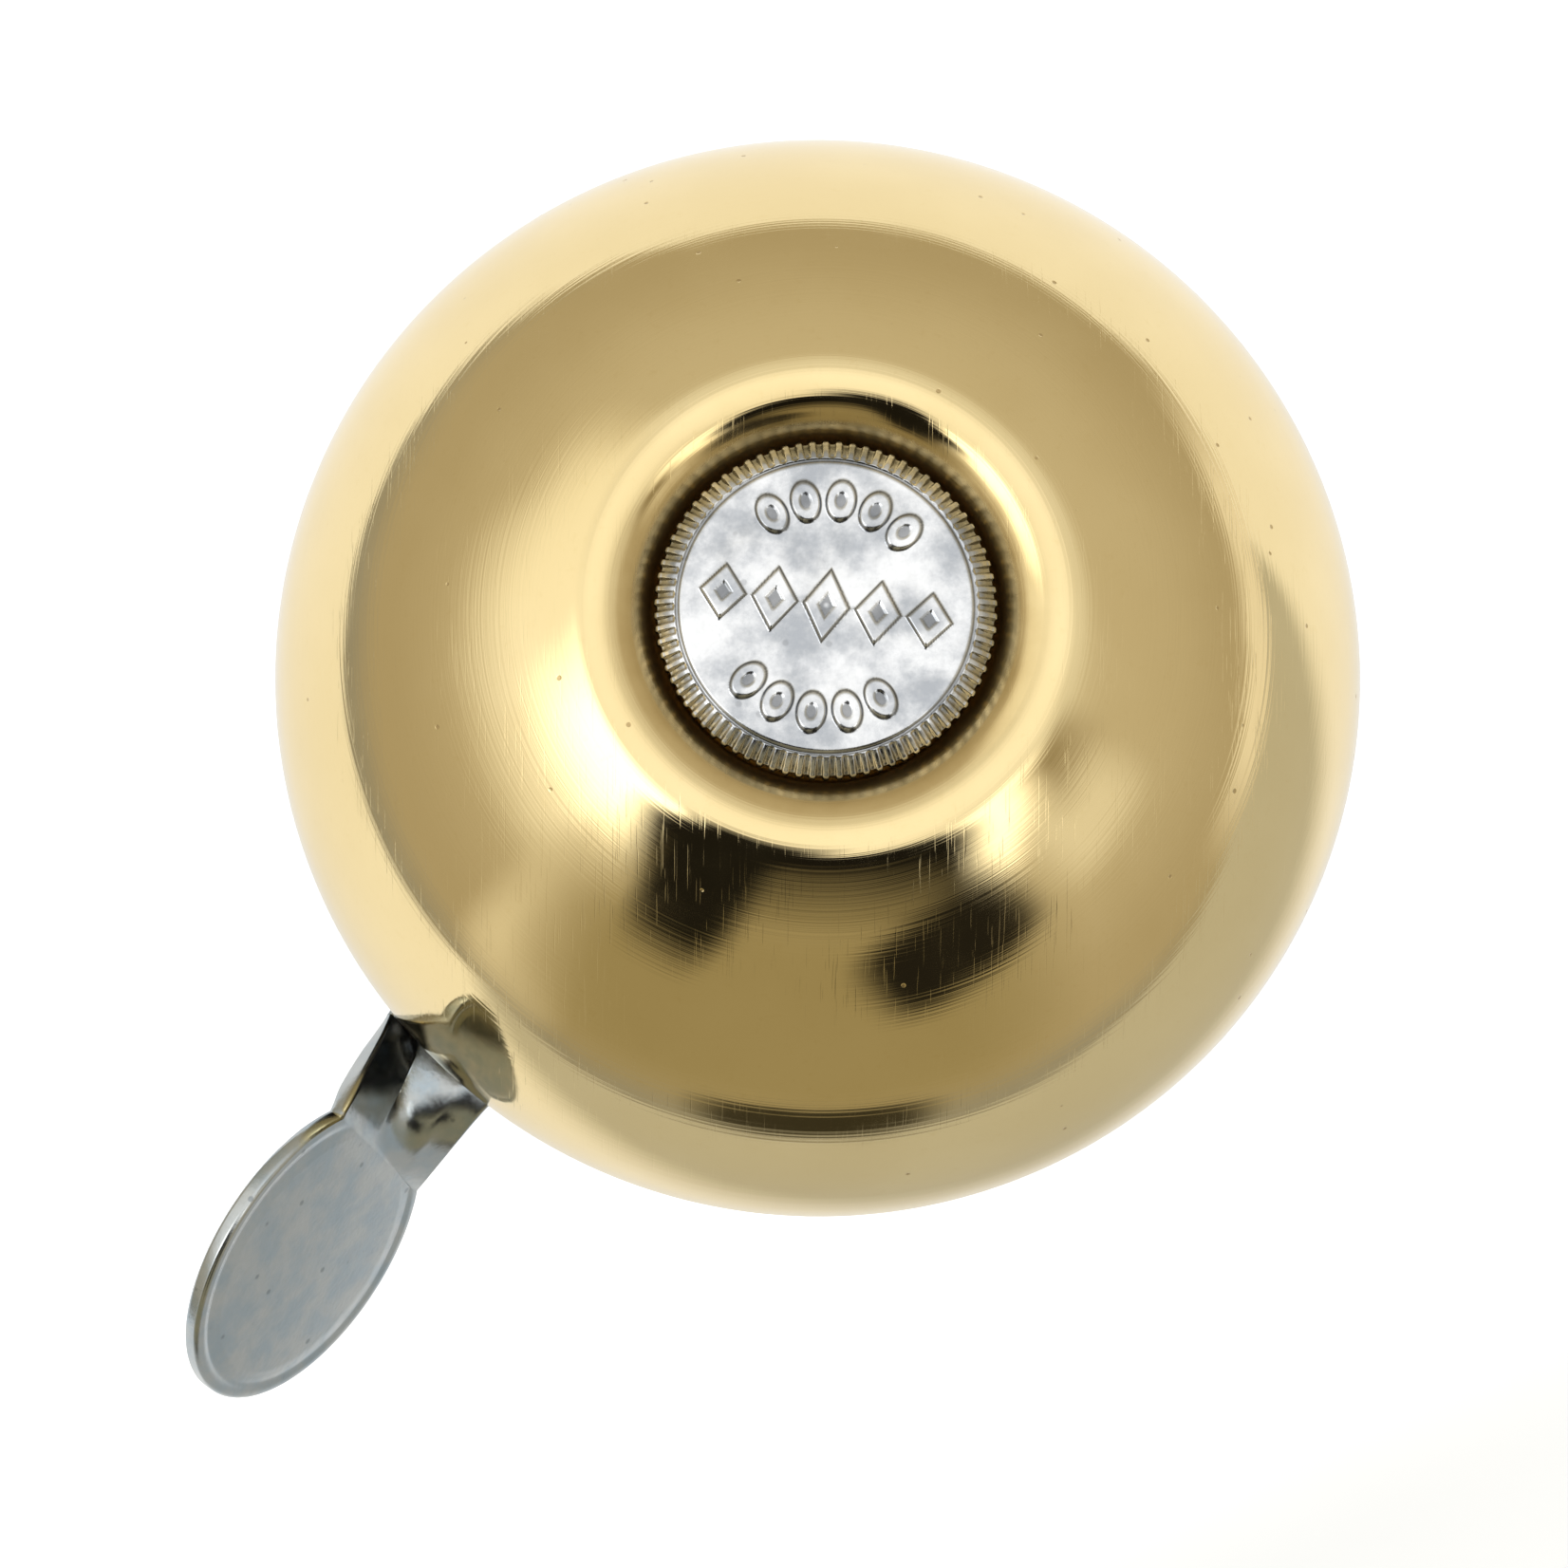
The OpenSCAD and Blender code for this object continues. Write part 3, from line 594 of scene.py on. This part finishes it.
# ------------------------------------------------------------------ thumb lever
PR, PT, LT, AW = 9.2, 67.9, 1.2, 7.7
LZ = 18.6
PVR, PVA, ARM, AL = 20.46, 220.25, 235.1, 9.0
L = Vector((PVR * math.cos(RAD(PVA)), PVR * math.sin(RAD(PVA)), 0))
D = Vector((math.cos(RAD(ARM)), math.sin(RAD(ARM)), 0))
E = Vector((math.cos(RAD(ARM + 90)), math.sin(RAD(ARM + 90)), 0))
P0 = L + AL * D
PS, PE = 13.15, -0.12
PZ = LZ + LT / 2
NS = 6.4


def on_pad(w):
    return (PE + w * math.cos(RAD(PT)), -w * math.sin(RAD(PT)))


BEND = [(-AW / 2, 0), (-1.4, 0), (1.6, 0), (AW / 2, 0)]
FACE = [on_pad(-6.3), on_pad(-1.9), on_pad(4.2), on_pad(6.3)]


def knot(i, s):
    if s <= 0:
        return BEND[i]
    if s >= NS:
        return FACE[i]
    t = s / NS
    up = 1.35 * t - 0.35 * t * t if i == 0 else t ** 1.6 if i == 3 else t ** 2.6
    return (BEND[i][0] + (FACE[i][0] - BEND[i][0]) * t, FACE[i][1] * up)


def neck_mid(s, f):
    """A point on the neck's middle surface; f runs 0 to 3 across the left edge, two creases and the right edge."""
    e = z = 0.0
    for df, wt in ((-0.06, 0.25), (0.0, 0.5), (0.06, 0.25)):
        for ds, ws in ((-0.22, 0.25), (0.0, 0.5), (0.22, 0.25)):
            g_ = f + df
            if f + df < 0 or f + df > 3 or f - df < 0 or f - df > 3:
                g_ = f
            i = min(2, max(0, int(g_)))
            a, b = knot(i, s + ds), knot(i + 1, s + ds)
            e += wt * ws * (a[0] + (g_ - i) * (b[0] - a[0]))
            z += wt * ws * (a[1] + (g_ - i) * (b[1] - a[1]))
    return P0 + s * D + e * E + Vector((0, 0, PZ + z))


def neck_point(s, f, h):
    n = (neck_mid(s + 0.06, f) - neck_mid(s - 0.06, f)).cross(neck_mid(s, min(3, f + 0.06)) - neck_mid(s, max(0, f - 0.06))).normalized()
    return neck_mid(s, f) + h * n


def pad_relief(s, w):
    """The pressed pad: a fine bead and groove inside the edge, and a coined disc."""
    rho = math.hypot(s - PS, w) / PR
    near = smooth((s - 5.2) / 3.2)
    bead = 0.05 * smooth(1 - abs(rho - 0.950) / 0.045)
    groove = -0.05 * smooth(1 - abs(rho - 0.895) / 0.035)
    disc = 0.03 * smooth((0.865 - rho) / 0.025) + 0.035 * smooth((0.83 - rho) / 0.014)
    return near * (bead + groove) + disc * smooth((s - 6.2) / 1.6) + 0.06 * max(0.0, 1 - rho ** 2)


def pad_point(s, w, h):
    a = RAD(PT)
    return P0 + s * D + (PE + w * math.cos(a) + h * math.sin(a)) * E + Vector((0, 0, PZ - w * math.sin(a) + h * math.cos(a)))


tip = PS + PR
s_rows = [-1.0 + 0.1 * i for i in range(0, 74)]
s_rows += [6.4 + 0.1 * i for i in range(0, 46)]
s_rows += [10.9 + (tip - 10.9) * math.sin(RAD(90 * i / 80)) for i in range(0, 81)]
s_rows = sorted(set(round(v, 5) for v in s_rows))
NW = 78
edge_r = 0.26


def lever_sheet():
    verts, faces = [], []
    rows = []
    for s in s_rows:
        hw = max(math.sqrt(max(0.0, PR * PR - (s - PS) ** 2)), 0.03)
        k = smooth((s - 5.6) / 0.8)
        top, bot = [], []
        for j in range(NW + 1):
            g_ = 2 * j / NW - 1
            b_ = 0.55 + 0.45 * smooth((s - 8.0) / 5.0)
            x = (1 - b_) * g_ + b_ * math.sin(RAD(90 * g_))
            if s < NS:
                # crease lines sit at f = 1 and f = 2
                f = 1.5 + 1.5 * x
                a, b = neck_mid(s, 0), neck_mid(s, 3)
                half = (b - a).length / 2
                d = (1 - abs(x)) * half * 1.15
                hi_, lo_ = 0.60 - 0.04 * k, 0.60 - 0.20 * smooth((s - 4.4) / 2.0)
            else:
                w = hw * x
                d = PR - math.hypot(s - PS, w) if s > PS else hw - abs(w)
                hi_, lo_ = 0.56, 0.40
            d = max(0.0, d)
            drop = edge_r - math.sqrt(max(0.0, edge_r ** 2 - (edge_r - min(d, edge_r)) ** 2))
            if s < NS:
                p, q = neck_point(s, f, hi_ - drop), neck_point(s, f, -lo_ + drop)
            else:
                m = pad_relief(s, w)
                p, q = pad_point(s, w, hi_ - drop + m), pad_point(s, w, -lo_ + drop + 0.6 * m)
            top.append(len(verts)); verts.append(tuple(p))
            bot.append(len(verts)); verts.append(tuple(q))
        rows.append((top, bot))
    for (t0, b0), (t1_, b1) in zip(rows, rows[1:]):
        for j in range(NW):
            faces.append((t0[j], t1_[j], t1_[j + 1], t0[j + 1]))
            faces.append((b0[j], b0[j + 1], b1[j + 1], b1[j]))
        faces.append((t0[0], b0[0], b1[0], t1_[0]))
        faces.append((t0[NW], t1_[NW], b1[NW], b0[NW]))
    for (t, b), flip in ((rows[0], False), (rows[-1], True)):
        for j in range(NW):
            q = (t[j], t[j + 1], b[j + 1], b[j])
            faces.append(q[::-1] if flip else q)
    return mesh_from(verts, faces)


lever_top = finish_piece("thumb_lever_pressed", lever_sheet(), "thumb_lever", sharp=60)
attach(lever_top, "lever")

MOD, PA = 0.7, 25.0
GRR, LG = MOD * 20, MOD * 29
GA = PVA - math.degrees(math.acos((GRR ** 2 + PVR ** 2 - LG ** 2) / (2 * GRR * PVR)))
G = Vector((GRR * math.cos(RAD(GA)), GRR * math.sin(RAD(GA)), 0))
MESH_A = math.degrees(math.atan2(G.y - L.y, G.x - L.x))


def inv(a):
    return math.tan(a) - a


def tooth(z, at_deg, n=8):
    rp = MOD * z / 2
    rb, ra, rt = rp * math.cos(RAD(PA)), rp + MOD, rp - 1.25 * MOD
    base = (math.pi * MOD / 2 - 0.1) / 2 / rp + inv(RAD(PA))
    half = lambda r: base if r <= rb else base - inv(math.acos(rb / r))
    r0 = max(rb, rt)
    rs = [r0 + (ra - r0) * i / n for i in range(n + 1)]
    pts = [(rt, -half(r0))] + [(r, -half(r)) for r in rs] + [(r, half(r)) for r in reversed(rs)] + [(rt, half(r0))]
    return [(r * math.cos(RAD(at_deg) + a), r * math.sin(RAD(at_deg) + a)) for r, a in pts]


def hole(x, y, r, z0, z1, seg=64):
    return extrude([(x + r * math.cos(2 * math.pi * i / seg), y + r * math.sin(2 * math.pi * i / seg)) for i in range(seg)], z0, z1)


# the lever's flat plate: round boss, arm under the gong, and toothed sector, as one outline
sector = []
for k in range(-1, 7):
    sector += tooth(46, MESH_A + 360 * k / 46)
sector = [(L.x + x, L.y + y) for x, y in sector]
ring = []
a_end = math.degrees(math.atan2(sector[-1][1] - L.y, sector[-1][0] - L.x))
a_start = math.degrees(math.atan2(sector[0][1] - L.y, sector[0][0] - L.x)) + 360
arm_gap = math.degrees(math.asin(AW / 2 / 6.2))
for a in np.linspace(a_end, ARM - arm_gap, 24):
    ring.append((L.x + 6.2 * math.cos(RAD(a)), L.y + 6.2 * math.sin(RAD(a))))
for w in (-AW / 2, AW / 2):
    p = L + (AL - 1.0) * D + w * E
    ring.append((p.x, p.y))
for a in np.linspace(ARM + arm_gap, a_start, 30):
    ring.append((L.x + 6.2 * math.cos(RAD(a)), L.y + 6.2 * math.sin(RAD(a))))
hook_xy = (L.x + 7.5 * math.cos(RAD(100)), L.y + 7.5 * math.sin(RAD(100)))
plate = carve(extrude(sector + ring, LZ, LZ + LT), [hole(L.x, L.y, 2.03, 15, 25), hole(hook_xy[0], hook_xy[1], 0.65, 15, 25)], 0.10, 2)
lever_plate = finish_piece("thumb_lever_plate", plate, "thumb_lever", sharp=40)
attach(lever_plate, "lever")

# ------------------------------------------------------------------ base dish
DR, BR, FLO = 29.2, 5.0, 15.1
FHI = FLO + 1.0
DT = RIM - 1.0
c0 = (DR - BR, FLO + BR)
dish = [(3.02, FLO)] + [(c0[0] + BR * math.sin(RAD(a)), c0[1] - BR * math.cos(RAD(a))) for a in range(0, 91, 5)]
dish += [(DR, DT - 0.3), (DR - 0.09, DT - 0.09), (DR - 0.3, DT), (DR - 0.7, DT), (DR - 0.91, DT - 0.09), (DR - 1.0, DT - 0.3)]
dish += [(c0[0] + (BR - 1) * math.sin(RAD(a)), c0[1] - (BR - 1) * math.cos(RAD(a))) for a in range(90, -1, -5)]
dish += [(3.02, FHI)]
u = Vector((math.cos(RAD(PVA)), math.sin(RAD(PVA)), 0))
v = Vector((-math.sin(RAD(PVA)), math.cos(RAD(PVA)), 0))
slot_shape = rounded([(-8.4, 17.0), (6.45, 17.0), (6.45, 30.0), (-8.4, 30.0)], [0.9, 0.9, 0, 0], 8)
slot_cut = extrude(slot_shape, 24.5, 33.0, to=lambda a, b, c: tuple(u * c + v * a + Vector((0, 0, b))))
drains = [hole(19 * math.cos(RAD(a)), 19 * math.sin(RAD(a)), 1.6, 10, 17) for a in (20, 275)]
dish_piece = finish_piece("base_dish_pressed", carve(revolve(dish, 256), [slot_cut] + drains, 0.12, 2, 40), "base_dish", sharp=38)
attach(dish_piece, "base")

# ------------------------------------------------------------------ return spring
SB, LEG, COIL, WIRE = 330.0, 7.5, 3.3, 0.7
swing = math.degrees(math.acos(COIL / LEG))
Bp = L + LEG * Vector((math.cos(RAD(SB)), math.sin(RAD(SB)), 0))
tau, sig = 100 - swing, SB + swing - 360
clo, chi = FHI + 0.5, LZ - 0.5
hook = L + LEG * Vector((math.cos(RAD(100)), math.sin(RAD(100)), 0))
Z = lambda z: Vector((0, 0, z))
path = [Bp + Z(clo)]
first = L + COIL * Vector((math.cos(RAD(sig)), math.sin(RAD(sig)), 0)) + Z(clo)
path += [path[0].lerp(first, k / 8) for k in range(1, 8)]
sweep = tau + 720 - sig
for i in range(181):
    a = RAD(sig + sweep * i / 180)
    path.append(L + COIL * Vector((math.cos(a), math.sin(a), 0)) + Z(clo + (chi - clo) * i / 180))
turn = hook + Z(chi) - 0.5 * Vector((math.cos(RAD(tau + 90)), math.sin(RAD(tau + 90)), 0))
last = path[-1].copy()
path += [last.lerp(turn, k / 8) for k in range(1, 9)]
for k in range(1, 6):
    f = k / 6
    path.append((turn * (1 - f) + (hook + Z(chi)) * f) * (1 - f) + ((hook + Z(chi)) * (1 - f) + (hook + Z(chi + 0.5)) * f) * f)
path += [hook + Z(chi + 0.5 + (LZ + LT - chi) * k / 5) for k in range(6)]


def tube(points, d, sides=14):
    verts, faces = [], []
    n = len(points)
    for i, p in enumerate(points):
        t = (points[min(i + 1, n - 1)] - points[max(i - 1, 0)]).normalized()
        side = t.cross(Vector((0, 0, 1)))
        side = side.normalized() if side.length > 0.35 else t.cross(Vector((1, 0, 0))).normalized()
        up = t.cross(side)
        for k in range(sides):
            a = 2 * math.pi * k / sides
            verts.append(tuple(p + d / 2 * (math.cos(a) * side + math.sin(a) * up)))
    for i in range(n - 1):
        for k in range(sides):
            m = (k + 1) % sides
            faces.append((i * sides + k, i * sides + m, (i + 1) * sides + m, (i + 1) * sides + k))
    faces.append(tuple(range(sides))[::-1])
    faces.append(tuple((n - 1) * sides + k for k in range(sides)))
    return mesh_from(verts, faces)


spring = finish_piece("return_spring_wire", tube(path, WIRE), "lever_return_spring", sharp=60)
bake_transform(spring)

# ------------------------------------------------------------------ clamp
BAR, BW, SI, ST, EY, EO = 11.1, 18.0, 13.3, 1.8, 17.5, 22.5
to_bar = lambda a, b, c: (c, a, b)


def arc(r, a0, a1, n):
    return [(r * math.cos(RAD(a0 + (a1 - a0) * i / n)), r * math.sin(RAD(a0 + (a1 - a0) * i / n))) for i in range(n + 1)]


ro, r_in = BAR + ST, BAR
o_low, i_low = math.degrees(math.asin(3.0 / ro)), math.degrees(math.asin(1.2 / r_in))
o_top, i_top = math.degrees(math.acos(9.0 / ro)), math.degrees(math.acos(7.2 / r_in))
right_out = [(EO, 1.2), (EO, 3.0)] + arc(ro, o_low, o_top, 26)
top_out = [(9.0, FLO - 1.6)] + [(7.4 + 1.6 * math.cos(RAD(a)), FLO - 1.6 + 1.6 * math.sin(RAD(a))) for a in range(0, 91, 10)]
right_in = arc(r_in, i_top, i_low, 30)
sad = right_out + top_out
sad = sad + [(-x, y) for x, y in reversed(sad)]
sad += [(-x, y) for x, y in reversed(right_in)]
sad += [(-7.2, SI), (7.2, SI)] + right_in
saddle_me = extrude(sad, -BW / 2, BW / 2, to=to_bar)
holes = [hole(0, s * EY, 2.75, -20, 10) for s in (-1, 1)]
saddle = finish_piece("clamp_saddle_pressed", carve(saddle_me, holes + [hole(0, 0, 3.02, 12, 30)], 0.22, 3, 30), "clamp_saddle", sharp=38)
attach(saddle, "base")
ro = BAR + 1.6
o_low = math.degrees(math.asin(2.8 / ro))
strap = [(EO, -1.2), (EO, -2.8)] + arc(ro, -o_low, -180 + o_low, 90) + [(-EO, -2.8), (-EO, -1.2)]
strap += arc(r_in, -180 + i_low, -i_low, 90)
strap_me = extrude(strap, -BW / 2, BW / 2, to=to_bar)
holes = [hole(0, s * EY, 2.75, -20, 10) for s in (-1, 1)]
strap_piece = finish_piece("clamp_strap_pressed", carve(strap_me, holes, 0.22, 3, 30), "clamp_strap", sharp=38)
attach(strap_piece, "base")


def screw(at_xy):
    """Pan head with a driver slot, and a cut thread on the shank."""
    x0, y0 = at_xy
    head = [(0, -7.0)] + [(4.5 * math.sin(RAD(a)), -5.4 - 1.6 * math.cos(RAD(a))) for a in range(6, 91, 6)]
    head += [(4.5, -4.1), (4.42, -3.88), (4.2, -3.8), (2.45, -3.8), (2.30, -3.3)]
    head += [(0, -3.3)]
    body = revolve(head, 96, at_xy)
    c, s = math.cos(RAD(30)), math.sin(RAD(30))
    cut = [(-6, -0.6), (6, -0.6), (6, 0.6), (-6, 0.6)]
    cut = extrude([(x0 + a * c - b * s, y0 + a * s + b * c) for a, b in cut], -9.0, -5.6)
    top = carve(body, [cut], 0.10, 2, 34)
    seg, rows, pitch = 40, 300, 0.8
    z0, z1 = -3.5, 8.0
    verts, faces = [], []
    for j in range(rows + 1):
        z = z0 + (z1 - z0) * j / rows
        fade = min(1.0, max(0.0, (8.0 - z) / 0.8))
        for i in range(seg):
            f = (z / pitch - i / seg) % 1.0
            d = 0.42 * (1 - abs(2 * f - 1)) if abs(2 * f - 1) > 0.12 else 0.42 * 0.88
            r = (2.48 - d) * (1 - 0.22 * (1 - fade))
            a = 2 * math.pi * i / seg
            verts.append((x0 + r * math.cos(a), y0 + r * math.sin(a), z))
    for j in range(rows):
        for i in range(seg):
            k = (i + 1) % seg
            faces.append((j * seg + i, j * seg + k, (j + 1) * seg + k, (j + 1) * seg + i))
    faces.append(tuple(range(seg))[::-1])
    faces.append(tuple(rows * seg + i for i in range(seg)))
    return top, mesh_from(verts, faces)


for i, s in enumerate((-1, 1)):
    head_me, shank_me = screw((0, s * EY))
    for part, me in (("head", head_me), ("thread", shank_me)):
        o = finish_piece("clamp_screw_%s_%d" % (part, i + 1), me, "clamp_screws", sharp=30 if part == "head" else 50)
        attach(o, "base")


def square_nut(at_xy):
    x0, y0 = at_xy
    block = extrude([(x0 + a, y0 + b) for a, b in rounded([(-4, -4), (4, -4), (4, 4), (-4, 4)], 0.5, 4)], 3.0, 6.2)
    o = carve(block, [hole(x0, y0, 2.53, 0, 10)], 0.25, 3, 40)
    return o


for i, s in enumerate((-1, 1)):
    o = finish_piece("clamp_nut_%d" % (i + 1), square_nut((0, s * EY)), "clamp_nuts", sharp=38)
    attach(o, "base")

for n, w in (("striker_lugs", 0.15), ("dome_nut_insert", 0.1), ("gong_seat_washer", 0.08), ("post_sleeve", 0.1), ("center_post", 0.1),
             ("lever_pin", 0.1), ("gear_pin", 0.08), ("spring_post", 0.1), ("lever_washer", 0.06), ("retaining_clips", 0.06),
             ("idler_pinion", 0.05), ("idler_gear", 0.06), ("rotor_pinion", 0.05), ("clapper_carrier", 0.12), ("clapper_pins", 0.08),
             ("clapper_ring_a", 0.12), ("clapper_ring_b", 0.12), ("saddle_rivets", 0.12), ("lock_washers", 0.1)):
    refined(n, w)

# ------------------------------------------------------------------ stage
floor_z = cad_box[0][2] - 0.0002


def floor_build(g, b):
    p = millimetres(g)
    sep = g.add("ShaderNodeSeparateXYZ")
    g.put(sep.inputs[0], p)
    # painted shadow: the floor is coloured from white to grey further than about 30 mm towards -Y and +X, where it
    # shows in the brass's reflection
    shadow_side_reach = g.math("ADD", g.math("MULTIPLY", sep.outputs[0], 0.45), g.math("MULTIPLY", sep.outputs[1], -0.9))
    f = g.ramp(shadow_side_reach, 30, 56)
    n = g.noise(p, 0.05, detail=3.0)
    c = g.mix(f, col((0.92, 0.92, 0.92)), col((0.50, 0.50, 0.48)))
    c = g.mix(g.math("MULTIPLY", n, 0.03), c, col((0.8, 0.8, 0.8)))
    g.put(b.inputs["Base Color"], c)
    b.inputs["Roughness"].default_value = 0.9
    b.inputs["Specular IOR Level"].default_value = 0.1
    b.inputs["Emission Color"].default_value = (1, 1, 1, 1)
    seen = g.add("ShaderNodeLightPath").outputs["Is Camera Ray"]
    g.put(b.inputs["Emission Strength"], g.math("MULTIPLY", seen, 0.38))


sheet_me = bpy.data.meshes.new("floor")
sheet_me.from_pydata([(-0.17, -0.145, floor_z), (0.45, -0.145, floor_z), (0.45, 0.65, floor_z), (-0.17, 0.65, floor_z)], [], [(0, 1, 2, 3)])
sheet_me.materials.append(material("floor_paper", floor_build))
floor = bpy.data.objects.new("floor", sheet_me)
bpy.context.scene.collection.objects.link(floor)

world = bpy.data.worlds.new("studio")
bpy.context.scene.world = world
world.use_nodes = True
g = Nodes(world.node_tree)
out = g.add("ShaderNodeOutputWorld")
d = g.add("ShaderNodeTexCoord").outputs["Generated"]


def direction(az, tilt):
    return Vector((math.cos(RAD(az)) * math.sin(RAD(tilt)), math.sin(RAD(az)) * math.sin(RAD(tilt)), math.cos(RAD(tilt))))


def panel(az, tilt, half_w, half_h, soft=0.35, turn=0.0):
    """A soft-edged rectangular light or flag, as a 0 to 1 mask over directions. Angles in degrees."""
    c = direction(az, tilt)
    side = Vector((-math.sin(RAD(az)), math.cos(RAD(az)), 0))
    up = c.cross(side)
    a = math.cos(RAD(turn)) * side + math.sin(RAD(turn)) * up
    b = -math.sin(RAD(turn)) * side + math.cos(RAD(turn)) * up
    front = g.vmath("DOT_PRODUCT", d, tuple(c))
    safe = g.math("MAXIMUM", front, 0.02)
    x = g.math("DIVIDE", g.math("DIVIDE", g.vmath("DOT_PRODUCT", d, tuple(a)), safe), math.tan(RAD(half_w)))
    y = g.math("DIVIDE", g.math("DIVIDE", g.vmath("DOT_PRODUCT", d, tuple(b)), safe), math.tan(RAD(half_h)))
    x2, y2 = g.math("MULTIPLY", x, x), g.math("MULTIPLY", y, y)
    q = g.math("ADD", g.math("MULTIPLY", x2, x2), g.math("MULTIPLY", y2, y2))
    q = g.math("POWER", q, 0.25)
    return g.math("MULTIPLY", g.ramp(q, 1.0 - soft, 1.0 + soft, 1.0, 0.0), g.ramp(front, 0.0, 0.05))


sep = g.add("ShaderNodeSeparateXYZ")
g.put(sep.inputs[0], d)
upz = sep.outputs[2]
room = g.mix(g.ramp(upz, -0.05, 0.62), col((0.56, 0.50, 0.38)), col((0.72, 0.665, 0.55)))
room = g.mix(g.ramp(upz, 0.60, 0.80), room, col((0.98, 0.96, 0.90)))
room = g.mix(g.ramp(upz, 0.82, 0.985), room, col((1.40, 1.39, 1.36)))
room = g.mix(g.ramp(upz, -0.30, -0.06), col((0.40, 0.40, 0.39)), room)
lights = [
    ((150, 44, 17, 15, 0.55, 0), (1.25, 1.22, 1.14)),
    ((195, 40, 34, 22, 0.6, 0), (1.35, 1.34, 1.30)),
    ((206, 36, 17, 13, 0.6, 0), (3.2, 3.2, 3.15)),
    ((222, 74, 9, 24, 0.5, 0), (1.12, 1.08, 1.0)),
    ((318, 40, 13, 9, 0.5, 20), (2.4, 2.38, 2.3)),
    ((333, 56, 9, 9, 0.6, 0), (1.0, 0.97, 0.90)),
    ((340, 44, 6, 6, 0.95, 0), (0.42, 0.36, 0.25)),
    ((12, 93, 26, 4, 0.5, 0), (1.1, 1.06, 1.0)),
]
for spec, c in lights:
    room = g.mix(panel(*spec), room, col(c))
flags = [
    ((266, 37, 30, 13, 0.2, 0), (0.012, 0.011, 0.01)),
    ((264, 73, 44, 30, 0.45, 0), (0.42, 0.365, 0.225)),
    ((243, 38, 9, 25, 0.3, -8), (0.015, 0.014, 0.012)),
    ((296, 60, 15, 10, 0.3, 18), (0.02, 0.018, 0.015)),
    ((270, 104, 16, 5, 0.3, 0), (0.05, 0.045, 0.03)),
]
for spec, c in flags:
    room = g.mix(panel(*spec), room, col(c))
bg = g.add("ShaderNodeBackground")
g.put(bg.inputs[0], room)
plain = g.add("ShaderNodeBackground")
plain.inputs[0].default_value = (1, 1, 1, 1)
plain.inputs[1].default_value = 1.0
fill = g.add("ShaderNodeBackground")
fill.inputs[0].default_value = (1, 1, 1, 1)
fill.inputs[1].default_value = 1.34
path_n = g.add("ShaderNodeLightPath")
m1 = g.add("ShaderNodeMixShader")
g.put(m1.inputs[0], path_n.outputs["Is Diffuse Ray"])
g.t.links.new(bg.outputs[0], m1.inputs[1])
g.t.links.new(fill.outputs[0], m1.inputs[2])
m2 = g.add("ShaderNodeMixShader")
g.put(m2.inputs[0], path_n.outputs["Is Camera Ray"])
g.t.links.new(m1.outputs[0], m2.inputs[1])
g.t.links.new(plain.outputs[0], m2.inputs[2])
g.t.links.new(m2.outputs[0], out.inputs[0])

bpy.context.scene.view_settings.view_transform = "Standard"
